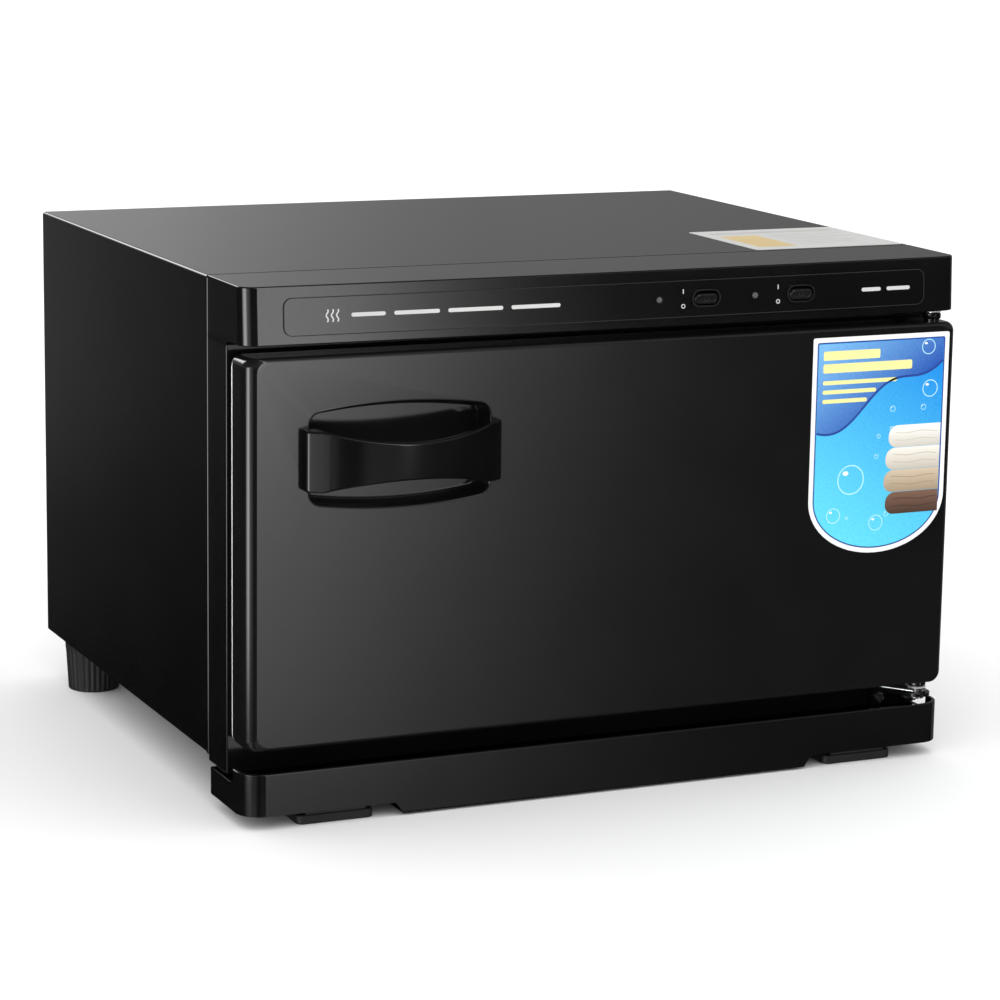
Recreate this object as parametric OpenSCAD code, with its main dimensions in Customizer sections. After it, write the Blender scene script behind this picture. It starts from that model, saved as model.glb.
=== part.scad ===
// Hot towel cabinet, one door, about 18 litres.
// X runs to the right as the user faces the door, -Y is the front, +Z is up.
// The origin is at the middle of the footprint, on the surface the cabinet stands on.

/* [Cabinet] */
// Width over the sheet-steel shell
cabinet_w = 450; // [430:1:480]
// Height from the table to the top of the shell
cabinet_h = 304; // [300:1:330]
// Depth of the sheet-steel shell
shell_d = 316; // [310:1:350]
// Depth of the moulded front, from the shell's edge to the door's face
front_d = 60; // [60:1:66]
// Thickness of the shell, base and rear sheets
sheet_t = 1.2; // [0.8:0.1:1.5]
// Height of the space under the cabinet
foot_h = 30; // [29:1:32]

/* [Front frame] */
// Height of the header above the door
header_h = 32; // [32:1:36]
// Wall thickness of the moulding
frame_t = 2.5; // [2:0.1:3]
// Radius of the upright front corners of the header and the door
header_r = 7.5; // [5:0.5:10]
// How far the side strips stand in front of the shell
strip_d = 30; // [29:0.5:31]

/* [Door] */
// Thickness of the door
door_t = 22; // [21:0.5:22]
// Gap between the header and the door
door_top_gap = 5.5; // [5.5:0.5:7]
// Height of the door's lower edge
door_z = 45.5; // [45:0.5:48]
// Radius of the door's upper and lower front edges
door_r = 4; // [1.5:0.5:4]
// Radius of the door's four corners, seen from the front
door_corner_r = 6; // [4:0.5:8]
// Thickness of the door's outer skin
skin_t = 1.5; // [1.2:0.1:1.8]

/* [Handle] */
// Distance from the cabinet's middle to the middle of the handle
handle_x = 133; // [120:1:140]
// Height of the middle of the handle
handle_z = 208.5; // [195:0.5:210]
// Width of the recess behind the strap
cup_w = 109; // [104:1:112]
// Height of the recess at its middle
cup_h = 60; // [56:1:62]
// Depth of the recess
cup_d = 14; // [12:1:15]
// How far the strap stands out from the door
strap_out = 25; // [22:1:26]
// Height of the strap at its ends
strap_end_h = 34; // [30:1:36]
// Height of the strap at its waist
strap_waist_h = 21; // [18:1:24]

/* [Chamber] */
// Width inside the towel chamber
chamber_w = 352; // [340:1:356]
// Height inside the towel chamber
chamber_h = 180; // [170:1:182]
// Depth inside the towel chamber
chamber_d = 270; // [255:1:270]
// Height of the chamber's floor
chamber_z = 72; // [70:1:74]

/* [Drip tray] */
// Height of the tray's front wall above the table
tray_top = 32.5; // [31:0.5:33]
// Height of the tray's side and rear walls above the table
tray_low_top = 24; // [22:0.5:24.5]
// Depth of the tray, front to back
tray_d = 55; // [50:1:56]
// Wall thickness of the tray
tray_t = 2; // [1.5:0.1:2.5]

/* [Hinge] */
// Distance from the hinge pins' axis to the cabinet's right side
hinge_in = 13; // [12.5:0.5:15]
// Radius of the hinge pins
pin_r = 3; // [2.5:0.1:3.5]
// Running clearance between a pin and its bush
pin_play = 0.06; // [0.02:0.01:0.1]

/* [Hidden] */
$fn = 48;

eps = 0.01;
half_w = cabinet_w / 2;
gland_out = 4;
front_reach = front_d + strap_out;
back_reach = shell_d + gland_out;
y_seam = (front_reach - back_reach) / 2;   // where the shell meets the moulded front
y_face = y_seam - front_d;                 // face of the door and header
y_strip = y_seam - strip_d;                // face of the frame behind the door
y_back = y_seam + shell_d;                 // rear edge of the shell
header_z = cabinet_h - header_h;
door_top = header_z - door_top_gap;
door_w = cabinet_w - 2;
door_back = y_face + door_t;
hinge_x = half_w - hinge_in;
hinge_y = y_face + door_t / 2;
panel_in = 2;                              // how far the rear panel sits inside the shell
rear_face = y_back - panel_in;
rear_inner = rear_face - sheet_t;
base_z = foot_h + sheet_t;                 // underside of the base panel, on the shell's flanges
base_top = base_z + sheet_t;
chamber_front = y_strip + 3;
chamber_back = chamber_front + chamber_d;
chamber_top = chamber_z + chamber_h;
liner_t = 1;
strap_w = 116;
magnet_x = -half_w + 20;
magnet_zs = [100, 215];
switch_z = header_z + 15;
switch_xs = [54.7, 116.4];
lamp_xs = [25, 85.3];
front_foot_xs = [-168.5, 168.5];
rear_foot_r = 18;
rear_foot_y = y_back - 40;
rear_foot_xs = [-half_w + 18.5, half_w - 18.5];
gland_x = -180;
gland_z = 62;
gland_bore_r = 3.6;

// ---------- shared shapes ----------

// A block given by its limits
module block(x, y, z) {
    translate([x[0], y[0], z[0]]) cube([x[1] - x[0], y[1] - y[0], z[1] - z[0]]);
}

// An outline in X and Z, extruded from y[0] to y[1]
module along_y(y) {
    translate([0, y[1], 0]) rotate([90, 0, 0]) linear_extrude(y[1] - y[0]) children();
}

// An outline in Y and Z, extruded from x[0] to x[1]
module along_x(x) {
    translate([x[0], 0, 0]) rotate([90, 0, 90]) linear_extrude(x[1] - x[0]) children();
}

// A rod along Y
module rod_y(x, z, y, r) {
    translate([x, y[1], z]) rotate([90, 0, 0]) cylinder(r = r, h = y[1] - y[0]);
}

// A rod along X
module rod_x(y, z, x, r) {
    translate([x[0], y, z]) rotate([0, 90, 0]) cylinder(r = r, h = x[1] - x[0]);
}

// A rod along Z
module rod_z(x, y, z, r) {
    translate([x, y, z[0]]) cylinder(r = r, h = z[1] - z[0]);
}

// A rectangle from a to b with round corners
module soft_rect(a, b, r) {
    translate(a) offset(r = r) offset(delta = -r) square(b - a);
}

// A plan outline whose two front corners are round
module front_round(w, y, r) {
    intersection() {
        translate([-w / 2, y[0]]) offset(r = r) offset(delta = -r) square([w, y[1] - y[0] + 4 * r]);
        translate([-w / 2, y[0]]) square([w, y[1] - y[0]]);
    }
}

// A pan-head screw along Y whose head faces the back
module rear_facing_screw(x, z, y, head_r = 3.4, head_h = 1.8, shank_r = 1.6, shank = 8) {
    difference() {
        union() {
            rod_y(x, z, [y, y + head_h], head_r);
            rod_y(x, z, [y - shank, y + eps], shank_r);
        }
        block([x - 2.2, x + 2.2], [y + head_h - 0.8, y + head_h + 1], [z - 0.4, z + 0.4]);
        block([x - 0.4, x + 0.4], [y + head_h - 0.8, y + head_h + 1], [z - 2.2, z + 2.2]);
    }
}

// ---------- outer casing ----------

module outer_shell() {
    flange = 14;
    color("#151516") along_y([y_seam, y_back]) difference() {
        soft_rect([-half_w, foot_h], [half_w, cabinet_h], 2);
        soft_rect([-half_w + sheet_t, foot_h + sheet_t], [half_w - sheet_t, cabinet_h - sheet_t], 1);
        translate([-half_w + flange, foot_h - 1]) square([cabinet_w - 2 * flange, 3]);
    }
}

module base_panel() {
    side_gap = 1.4;
    x = half_w - sheet_t - side_gap;
    color("#1b1b1c") difference() {
        block([-x, x], [y_seam + 2, rear_inner], [base_z, base_top]);
        for (fx = rear_foot_xs) rod_z(fx, rear_foot_y, [base_z - 1, base_top + 1], 2.6);
        for (fx = front_foot_xs) for (dx = [-12, 12])
            rod_z(fx + dx, y_seam + 20, [base_z - 1, base_top + 1], 2.1);
        for (i = [-4:4]) for (y = [60, 200])
            block([i * 30 - 10, i * 30 + 10], [y_seam + y, y_seam + y + 4], [base_z - 1, base_top + 1]);
    }
}

rear_screw_zs = [45, 165, 285];

module rear_panel() {
    vents = 10;
    vent_x = 90;
    vent_w = 110;
    vent_h = 4;
    vent_z = 110;
    vent_pitch = 12;
    x = half_w - sheet_t - 0.3;
    color("#1b1b1c") difference() {
        block([-x, x], [rear_inner, rear_face], [base_top + 0.2, cabinet_h - sheet_t - 0.3]);
        rod_y(gland_x, gland_z, [rear_inner - 1, rear_face + 1], 6.5);
        for (i = [0:vents - 1]) let (z = vent_z + i * vent_pitch) for (vx = [-vent_x, vent_x])
            block([vx - vent_w / 2, vx + vent_w / 2], [rear_inner - 1, rear_face + 1], [z, z + vent_h]);
        for (sx = [-1, 1]) for (z = rear_screw_zs)
            rod_y(sx * (half_w - 14), z, [rear_inner - 1, rear_face + 1], 1.7);
    }
}

module rear_screws() {
    color("#2a2a2b") for (sx = [-1, 1]) for (z = rear_screw_zs)
        rear_facing_screw(sx * (half_w - 14), z, rear_face);
}

// ---------- moulded front ----------

module switch_hole(x, grow = 0) {
    along_y([y_face - 1, y_face + frame_t + 1])
        soft_rect([x - 9.2 - grow, switch_z - 5.2 - grow], [x + 9.2 + grow, switch_z + 5.2 + grow], 5.1);
}

module front_frame() {
    tongue = 12;
    lap = sheet_t + 0.4;
    cavity_x = half_w - frame_t;
    rail_z = 26;
    rail_t = 3;
    lap_in = 2;
    color("#161617") difference() {
        union() {
            translate([0, 0, header_z]) linear_extrude(header_h)
                front_round(cabinet_w, [y_face, y_seam], header_r);
            block([-half_w, half_w], [y_strip, y_seam], [rail_z, header_z + 1]);
            block([-half_w + lap, half_w - lap], [y_seam - 1, y_seam + tongue],
                [base_top + 1, cabinet_h - lap]);
        }
        translate([0, 0, header_z + frame_t]) linear_extrude(header_h - 2 * frame_t)
            front_round(cabinet_w - 2 * frame_t, [y_face + frame_t, y_seam + tongue + 1], header_r - frame_t);
        block([-cavity_x, cavity_x], [chamber_front, y_seam + tongue + 1], [rail_z + rail_t, header_z + 10]);
        block([-chamber_w / 2 + lap_in, chamber_w / 2 - lap_in], [y_strip - 1, chamber_front + 1],
            [chamber_z + lap_in, chamber_top - lap_in]);
        for (x = switch_xs) switch_hole(x, 0.1);
        for (x = lamp_xs) rod_y(x, switch_z, [y_face - 1, y_face + frame_t + 1], 1.9);
        for (z = magnet_zs) rod_y(magnet_x, z, [y_strip - 1, chamber_front + 1], 6);
        rod_z(hinge_x, hinge_y, [header_z - 1, header_z + frame_t + 1], pin_r + 0.1);
        for (dx = low_screw_dx) rod_y(hinge_x + dx, low_screw_z, [y_strip - 1, chamber_front + 1], 1.6);
        for (dx = top_screw_dx) rod_z(hinge_x + dx, top_screw_y, [header_z - 1, header_z + frame_t + 1], 1.6);
    }
}

overlay_t = 0.6;

module control_overlay() {
    color("#202022") difference() {
        along_y([y_face - overlay_t, y_face])
            soft_rect([-201, header_z + 4.5], [201, cabinet_h - 6.5], 5);
        for (x = switch_xs) switch_hole(x, 0.1);
        for (x = lamp_xs) rod_y(x, switch_z, [y_face - 1, y_face + 1], 1.9);
    }
}

// Housing of one rocker switch, snapped into the header from behind
module switch_body(x) {
    back = y_face + frame_t;
    difference() {
        union() {
            along_y([y_face - overlay_t, back + 0.1])
                soft_rect([x - 9.2, switch_z - 5.2], [x + 9.2, switch_z + 5.2], 5);
            block([x - 11, x + 11], [back, back + 14], [switch_z - 7, switch_z + 7]);
            for (tab_x = [x - 5, x + 5])
                block([tab_x - 0.4, tab_x + 0.4], [back + 13, back + 21], [switch_z - 2.4, switch_z + 2.4]);
        }
        along_y([y_face - 2, back + 0.5])
            soft_rect([x - 8.2, switch_z - 4.3], [x + 8.2, switch_z + 4.3], 4.2);
        block([x - 8.2, x + 8.2], [back - 0.5, back + 10], [switch_z - 5.6, switch_z + 5.6]);
        rod_x(rocker_y, switch_z, [x - 9.2, x + 9.2], 1.06);
    }
}

rocker_y = y_face + 4.5;

// Rocker cap with its cross pins; at rest its upper end is out
module rocker(x) {
    lean = 7;
    half_l = 7.6;
    half_h = 3.2;
    translate([x, rocker_y, switch_z]) rotate([lean, 0, 0]) {
        along_y([-5.4, 1.4]) soft_rect([-half_l, -half_h], [half_l, half_h], half_h - 0.05);
        rod_x(0, 0, [-9, 9], 1);
    }
}

module heat_switch_body() { color("#101011") switch_body(switch_xs[0]); }
module uv_switch_body() { color("#101011") switch_body(switch_xs[1]); }
module heat_rocker() { color("#1c1c1e") rocker(switch_xs[0]); }
module uv_rocker() { color("#1c1c1e") rocker(switch_xs[1]); }

module indicator_lenses() {
    color("#8b8b86") for (x = lamp_xs) {
        rod_y(x, switch_z, [y_face - 0.9, y_face + frame_t + 0.1], 1.8);
        rod_y(x, switch_z, [y_face + frame_t, y_face + frame_t + 4], 2.5);
    }
}

module indicator_board() {
    y = y_face + frame_t + 4;
    color("#2f6b3a") difference() {
        block([lamp_xs[0] - 8, lamp_xs[1] + 8], [y, y + 1.6], [switch_z - 9.5, switch_z + 9.5]);
        block([switch_xs[0] - 11.5, switch_xs[0] + 11.5], [y - 1, y + 3], [switch_z - 7.5, switch_z + 7.5]);
    }
}

// ---------- heated chamber ----------

module chamber_liner() {
    cw = chamber_w / 2;
    lip = 16;
    color("#c9cbcc") difference() {
        union() {
            block([-cw - liner_t, cw + liner_t], [chamber_front, chamber_back + liner_t],
                [chamber_z - liner_t, chamber_top + liner_t]);
            block([-cw - lip, cw + lip], [chamber_front, chamber_front + liner_t],
                [chamber_z - lip, chamber_top + lip]);
        }
        block([-cw, cw], [chamber_front - 1, chamber_back], [chamber_z, chamber_top]);
    }
}

module chamber_insulation() {
    cw = chamber_w / 2 + liner_t;
    y = [chamber_front + 6, chamber_back + liner_t];
    color("#d8d2c0") {
        for (side = [-1, 1]) translate([side * (cw + 13.2), 0, 0])
            block([-13, 13], y, [chamber_z - 20, chamber_top + liner_t]);
        block([-cw - 26, cw + 26], y, [chamber_top + liner_t + 0.2, chamber_top + 20]);
        block([-cw - 26, cw + 26], [chamber_back + liner_t + 0.2, chamber_back + 24],
            [chamber_z - 20, chamber_top + 20]);
        block([-cw, cw], y, [base_top + 4, base_top + 20]);
    }
}

heater_y = [chamber_front + 40, chamber_front + 230];
heater_z = chamber_z - liner_t;

module heater_plate() {
    color("#b7b9bb") difference() {
        block([-150, 150], heater_y, [heater_z - 2.5, heater_z]);
        for (x = [-140, 140]) for (y = heater_y)
            rod_z(x, y + (y == heater_y[0] ? 10 : -10), [heater_z - 4, heater_z + 1], 2.2);
    }
}

module heating_element() {
    r = 3.2;
    z = heater_z - 2.5 - r;
    runs = 6;
    pitch = 44;
    y0 = heater_y[0] + 35;
    y1 = heater_y[1] - 35;
    color("#8d8f92") {
        for (i = [0:runs - 1]) rod_y((i - (runs - 1) / 2) * pitch, z, [y0, y1], r);
        for (i = [0:runs - 2])
            translate([(i + 0.5 - (runs - 1) / 2) * pitch, i % 2 == 0 ? y1 : y0, z])
                rotate([0, 0, i % 2 == 0 ? 0 : 180])
                    rotate_extrude(angle = 180) translate([pitch / 2, 0]) circle(r = r);
    }
}

module thermostat() {
    color("#e4ded0") translate([163, chamber_front + 120, 0]) {
        rod_z(0, 0, [heater_z - 10, heater_z], 8);
        difference() {
            block([-4.5, 4.5], [-16, 16], [heater_z - 1.2, heater_z]);
            for (dy = [-13, 13]) rod_z(0, dy, [heater_z - 2, heater_z + 1], 1.6);
        }
        for (dy = [-4, 4]) block([-3, 3], [dy - 0.4, dy + 0.4], [heater_z - 18, heater_z - 9.9]);
    }
}

module thermal_fuse() {
    color("#b08d57") translate([163, chamber_front + 170, 0]) {
        rod_y(0, heater_z - 3, [-7, 7], 2.2);
        rod_y(0, heater_z - 3, [-20, 20], 0.5);
        difference() {
            block([-8, 4], [-4, 4], [heater_z - 6, heater_z]);
            block([-9, 5], [-5, -3], [heater_z - 7, heater_z - 1]);
            block([-9, 5], [3, 5], [heater_z - 7, heater_z - 1]);
        }
    }
}

uv_y = chamber_back - 16;
uv_z = chamber_top - 16;

module uv_lamp() {
    color("#dfe9f5") {
        rod_x(uv_y, uv_z, [-62, 62], 7.5);
        for (side = [-1, 1]) for (dz = [-2.5, 2.5])
            rod_x(uv_y, uv_z + dz, side > 0 ? [62, 68] : [-68, -62], 1);
    }
}

module uv_lamp_holders() {
    color("#e9e7e0") for (side = [-1, 1]) difference() {
        union() {
            along_x(side > 0 ? [62.2, 74] : [-74, -62.2])
                soft_rect([uv_y - 9, uv_z - 9], [uv_y + 9, uv_z + 9], 4);
            block(side > 0 ? [62.2, 74] : [-74, -62.2], [uv_y, chamber_back], [uv_z - 9, uv_z + 9]);
        }
        for (dz = [-2.5, 2.5])
            rod_x(uv_y, uv_z + dz, side > 0 ? [61, 69] : [-69, -61], 1.05);
    }
}

module uv_ballast() {
    y = [rear_inner - 0.2 - 26, rear_inner];
    color("#3b3f45") difference() {
        union() {
            block([80, 160], [y[0], y[1]], [52, 84]);
            block([68, 172], [y[1] - 1.5, y[1]], [60, 76]);
        }
        for (x = [74, 166]) rod_y(x, 68, [y[1] - 3, y[1] + 1], 2.1);
    }
}

module terminal_block() {
    y = [rear_inner - 16, rear_inner];
    color("#ece9e1") difference() {
        block([-110, -62], y, [50, 68]);
        for (i = [0:3]) {
            rod_y(-104 + i * 12, 59, [y[0] - 1, y[0] + 9], 2.6);
            rod_z(-104 + i * 12, y[0] + 11, [49, 69], 1.8);
        }
    }
}

module cord_gland() {
    color("#0f0f10") difference() {
        union() {
            rod_y(gland_x, gland_z, [rear_inner - 3, y_back + gland_out], 6.4);
            rod_y(gland_x, gland_z, [rear_face, rear_face + 2.5], 10);
            rod_y(gland_x, gland_z, [rear_inner - 3, rear_inner], 8.5);
        }
        rod_y(gland_x, gland_z, [rear_inner - 4, y_back + gland_out + 1], gland_bore_r);
    }
}

// ---------- catch and hinges ----------

module catch_magnets() {
    color("#b9bcc0") for (z = magnet_zs)
        rod_y(magnet_x, z, [y_strip - 3, chamber_front + 2], 5.9);
}

module strike_plates() {
    color("#c3c6c9") for (z = magnet_zs)
        rod_y(magnet_x, z, [door_back, y_strip - 3.5], 7);
}

bracket_t = 2;
lower_bracket_z = 36;
low_screw_dx = [-16, 3];                  // screws of the lower hinge bracket, from the hinge axis
low_screw_z = 31.5;
top_screw_dx = [-18, -6];                  // screws of the upper hinge bracket, from the hinge axis
top_screw_y = y_strip - 6;

module hinge_bracket_top() {
    z = header_z + frame_t;
    color("#9a9da1") difference() {
        block([hinge_x - 24, half_w - frame_t - 2], [y_face + frame_t + 3.5, y_strip + 10],
            [z, z + bracket_t]);
        rod_z(hinge_x, hinge_y, [z - 1, z + bracket_t + 1], pin_r);
        for (dx = top_screw_dx) rod_z(hinge_x + dx, top_screw_y, [z - 1, z + bracket_t + 1], 1.6);
    }
}

module hinge_bracket_bottom() {
    z = [lower_bracket_z, lower_bracket_z + bracket_t];
    color("#19191a") difference() {
        union() {
            translate([0, 0, z[0]]) linear_extrude(bracket_t) hull() {
                translate([hinge_x, hinge_y]) circle(r = 8);
                translate([hinge_x - 22, y_strip - 2]) square([30, 2]);
            }
            block([hinge_x - 22, hinge_x + 8], [y_strip - bracket_t, y_strip], [26.5, z[1]]);
        }
        rod_z(hinge_x, hinge_y, [z[0] - 1, z[1] + 1], pin_r);
        for (dx = low_screw_dx) rod_y(hinge_x + dx, low_screw_z, [y_strip - 4, y_strip + 1], 1.6);
    }
}

module bracket_screws() {
    head_r = 2.9;
    head_h = 1.6;
    shank_r = 1.5;
    low_y = y_strip - bracket_t;
    top_z = header_z + frame_t + bracket_t;
    color("#cfd2d5") {
        for (dx = low_screw_dx) {
            rod_y(hinge_x + dx, low_screw_z, [low_y - head_h, low_y], head_r);
            rod_y(hinge_x + dx, low_screw_z, [low_y - eps, chamber_front + 3], shank_r);
        }
        for (dx = top_screw_dx) {
            rod_z(hinge_x + dx, top_screw_y, [top_z, top_z + head_h], head_r);
            rod_z(hinge_x + dx, top_screw_y, [header_z + 0.3, top_z + eps], shank_r);
        }
    }
}

module hinge_pin_top() {
    top_z = header_z + frame_t + bracket_t;
    color("#d5d7da") {
        rod_z(hinge_x, hinge_y, [door_top - 14, top_z], pin_r);
        rod_z(hinge_x, hinge_y, [top_z, top_z + 1.5], pin_r + 1.5);
    }
}

module hinge_pin_bottom() {
    color("#d5d7da") {
        rod_z(hinge_x, hinge_y, [lower_bracket_z - 0.5, door_z + 14], pin_r);
        rod_z(hinge_x, hinge_y, [lower_bracket_z - 2, lower_bracket_z], pin_r + 1.5);
    }
}

// Washers on the pins, one above the top bush and one below the bottom bush
module hinge_washers() {
    color("#d5d7da") for (z = [header_z - 1.3, door_z - 4.9]) difference() {
        rod_z(hinge_x, hinge_y, [z, z + 1], 5.6);
        rod_z(hinge_x, hinge_y, [z - 1, z + 2], pin_r + 0.05);
    }
}

bush_r = 4.5;

// A bush: the collar stands outside the door, the barrel is pressed into the door's edge
module bush(collar, barrel) {
    difference() {
        union() {
            rod_z(hinge_x, hinge_y, collar, 5.4);
            rod_z(hinge_x, hinge_y, barrel, bush_r);
        }
        rod_z(hinge_x, hinge_y, [min(concat(collar, barrel)) - 1, max(concat(collar, barrel)) + 1],
            pin_r + pin_play);
    }
}

module hinge_bush_top() {
    color("#1a1a1b") bush([door_top, door_top + 3.6], [door_top - 16, door_top + eps]);
}

module hinge_bush_bottom() {
    color("#1a1a1b") bush([door_z - 3.6, door_z], [door_z - eps, door_z + 16]);
}

// Closing spring: one turn of wire round the lower pin and an arm that rests against the frame
module hinge_spring() {
    wire_r = 0.8;
    turn_r = 5.2;
    end_gap = 1;
    lean = 38;
    z = lower_bracket_z + bracket_t + wire_r + 0.2;
    start = -turn_r * [cos(lean), sin(lean)];
    arm = (y_strip - end_gap - hinge_y - start[1]) / cos(lean);
    color("#c9ccd0") {
        translate([hinge_x, hinge_y, z]) rotate([0, 0, -90]) rotate_extrude(angle = 270 + lean)
            translate([turn_r, 0]) circle(r = wire_r, $fn = 16);
        translate([hinge_x + start[0], hinge_y + start[1], z]) rotate([-90, 0, lean])
            cylinder(r = wire_r, h = arm, $fn = 16);
    }
}

// ---------- feet ----------

arm_z = [5.4, 7.9];

module foot_brackets() {
    color("#1b1b1c") for (x = front_foot_xs) difference() {
        union() {
            block([x - 18, x + 18], [y_face + 5, y_seam + 2], arm_z);
            block([x - 18, x + 18], [y_seam, y_seam + 2], [arm_z[0], base_z]);
            block([x - 18, x + 18], [y_seam, y_seam + 34], [base_z - 2, base_z]);
        }
        for (dx = [-12, 12]) rod_z(x + dx, y_seam + 20, [base_z - 3, base_z + 1], 2.1);
    }
}

module front_feet() {
    color("#121213") for (x = front_foot_xs)
        linear_extrude(arm_z[0]) soft_rect([x - 23, y_face + 4], [x + 23, y_face + 44], 4);
}

module rear_feet() {
    color("#131314") for (x = rear_foot_xs) difference() {
        translate([x, rear_foot_y, 0]) cylinder(r1 = rear_foot_r - 1.8, r2 = rear_foot_r, h = foot_h);
        rod_z(x, rear_foot_y, [-1, foot_h - 6], 6);
        rod_z(x, rear_foot_y, [0, foot_h + 1], 2.3);
    }
}

module foot_screws() {
    color("#b9bcc0") {
        for (x = rear_foot_xs) {
            rod_z(x, rear_foot_y, [foot_h - 9, foot_h - 6], 4.4);
            rod_z(x, rear_foot_y, [foot_h - 6 - eps, base_top + 5], 2.2);
        }
        for (x = front_foot_xs) for (dx = [-12, 12]) {
            rod_z(x + dx, y_seam + 20, [base_z - 4, base_z - 2], 3.6);
            rod_z(x + dx, y_seam + 20, [base_z - 2 - eps, base_top + 3], 2);
        }
    }
}

// ---------- labels ----------

module shell_label() {
    size = [100.5, 90, 0.15];
    edge = [2.5, 4];
    color("#d9d7cf") translate([half_w - edge[0] - size[0], y_seam + edge[1], cabinet_h]) cube(size);
}

label_x = [126, 218];
label_top = door_top - 6.5;

module door_label() {
    mid = (label_x[0] + label_x[1]) / 2;
    half = (label_x[1] - label_x[0]) / 2;
    color("#2f9fe0") along_y([y_face - 0.3, y_face]) union() {
        translate([label_x[0], label_top - 97]) square([2 * half, 97]);
        intersection() {
            translate([mid, label_top - 97]) scale([half, 33.5]) circle(r = 1, $fn = 64);
            translate([label_x[0], label_top - 140]) square([2 * half, 44]);
        }
    }
}

// ---------- door ----------

// The door's outer form drawn in by inset on every side except the back
module door_form(inset, y_back_face) {
    side_r = max(header_r - inset, 0.5);
    edge_r = max(door_r - inset, 0.5);
    w = door_w / 2 - inset;
    z = [door_z + inset, door_top - inset];
    y = [y_face + inset, y_back_face];
    intersection() {
        translate([0, 0, z[0]]) linear_extrude(z[1] - z[0]) front_round(2 * w, y, side_r);
        along_x([-w, w]) intersection() {
            soft_rect([y[0], z[0]], [y[1] + 4 * edge_r, z[1]], edge_r);
            translate([y[0], z[0]]) square([y[1] - y[0], z[1] - z[0]]);
        }
        along_y(y) soft_rect([-w, z[0]], [w, z[1]], door_corner_r - inset);
    }
}

// Barrel-shaped outline of the handle's recess, grown by g
module cup_outline(g = 0) {
    bulge = 4.6;
    chord = cup_w / 2;
    arc_r = (chord * chord + bulge * bulge) / (2 * bulge);
    translate([-handle_x, handle_z]) offset(r = g) offset(r = 8) offset(delta = -8) intersection() {
        square([cup_w, cup_h + 1], center = true);
        translate([0, cup_h / 2 - arc_r]) circle(r = arc_r, $fn = 180);
        translate([0, arc_r - cup_h / 2]) circle(r = arc_r, $fn = 180);
    }
}

module door_panel() {
    post_r = 3.2;
    screw_depth = 7;
    color("#161617") difference() {
        union() {
            difference() {
                door_form(0, door_back);
                door_form(skin_t, door_back + 1);
            }
            for (x = liner_screw_xs) for (z = liner_screw_zs)
                rod_y(x, z, [y_face + 1, liner_y[0]], post_r);
        }
        along_y([y_face - 1, y_face + skin_t + 1]) cup_outline(0.1);
        rod_z(hinge_x, hinge_y, [door_z - 1, door_top + 1], bush_r + 0.05);
        for (x = liner_screw_xs) for (z = liner_screw_zs)
            rod_y(x, z, [liner_y[0] - screw_depth, liner_y[0] + 1], 1.65);
    }
}

liner_sheet = 1.2;
liner_y = [door_back - liner_sheet, door_back];
liner_screw_xs = [-door_w / 2 + 12, door_w / 2 - 24];
liner_screw_zs = [75, 155, 240];
boss = 4;

module door_liner() {
    raised = 12;
    hollow = raised + liner_sheet;
    w = door_w / 2 - skin_t - 0.2;
    z = [door_z + skin_t + 0.2, door_top - skin_t - 0.2];
    color("#b9bbbd") difference() {
        union() {
            along_y(liner_y) soft_rect([-w, z[0]], [w, z[1]], 4);
            along_y([liner_y[0], door_back + boss])
                soft_rect([-chamber_w / 2 + raised, chamber_z + raised],
                    [chamber_w / 2 - raised, chamber_top - raised], 8);
        }
        along_y([liner_y[0] - 1, door_back + boss - liner_sheet])
            soft_rect([-chamber_w / 2 + hollow, chamber_z + hollow],
                [chamber_w / 2 - hollow, chamber_top - hollow], 7);
        for (x = liner_screw_xs) for (sz = liner_screw_zs)
            rod_y(x, sz, [liner_y[0] - 1, door_back + 1], 1.7);
    }
}

module door_insulation() {
    left = 17;
    right = 28;
    ends = 5;
    color("#e6e1d2") difference() {
        block([-door_w / 2 + left, door_w / 2 - right], [y_face + skin_t + 0.3, liner_y[0] - 0.2],
            [door_z + ends, door_top - ends]);
        along_y([y_face, liner_y[0] + 1]) cup_outline(4);
    }
}

module door_gasket() {
    gap = 0.3;
    out_x = chamber_w / 2 + 9;
    out_z = [chamber_z - 9, chamber_top + 9];
    width = 8;
    color("#2a2a2b") along_y([door_back, y_strip - gap]) difference() {
        soft_rect([-out_x, out_z[0]], [out_x, out_z[1]], 8);
        soft_rect([-out_x + width, out_z[0] + width], [out_x - width, out_z[1] - width], 3);
    }
}

cup_floor_y = y_face + cup_d;
cup_t = 1.5;

module handle_cup() {
    color("#151516") difference() {
        union() {
            along_y([y_face, cup_floor_y + cup_t]) cup_outline(-0.05);
            along_y([y_face + skin_t, y_face + skin_t + 1.6]) cup_outline(3.6);
        }
        along_y([y_face - 1, cup_floor_y]) cup_outline(-cup_t);
        for (sx = [-1, 1])
            rod_y(-handle_x + sx * leg_x, handle_z, [cup_floor_y - 1, cup_floor_y + cup_t + 1], 1.7);
    }
}

leg_x = cup_w / 2 - 5.2;

// Outline of the strap seen from the front: full height at its ends, waisted between
module strap_outline() {
    dip = (strap_end_h - strap_waist_h) / 2;
    flat = 8;
    chord = strap_w / 2 - flat;
    arc_r = (chord * chord + dip * dip) / (2 * dip);
    translate([-handle_x, handle_z]) difference() {
        soft_rect([-strap_w / 2, -strap_end_h / 2], [strap_w / 2, strap_end_h / 2], 1.5);
        for (side = [-1, 1])
            translate([0, side * (strap_waist_h / 2 + arc_r)]) circle(r = arc_r, $fn = 180);
    }
}

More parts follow.
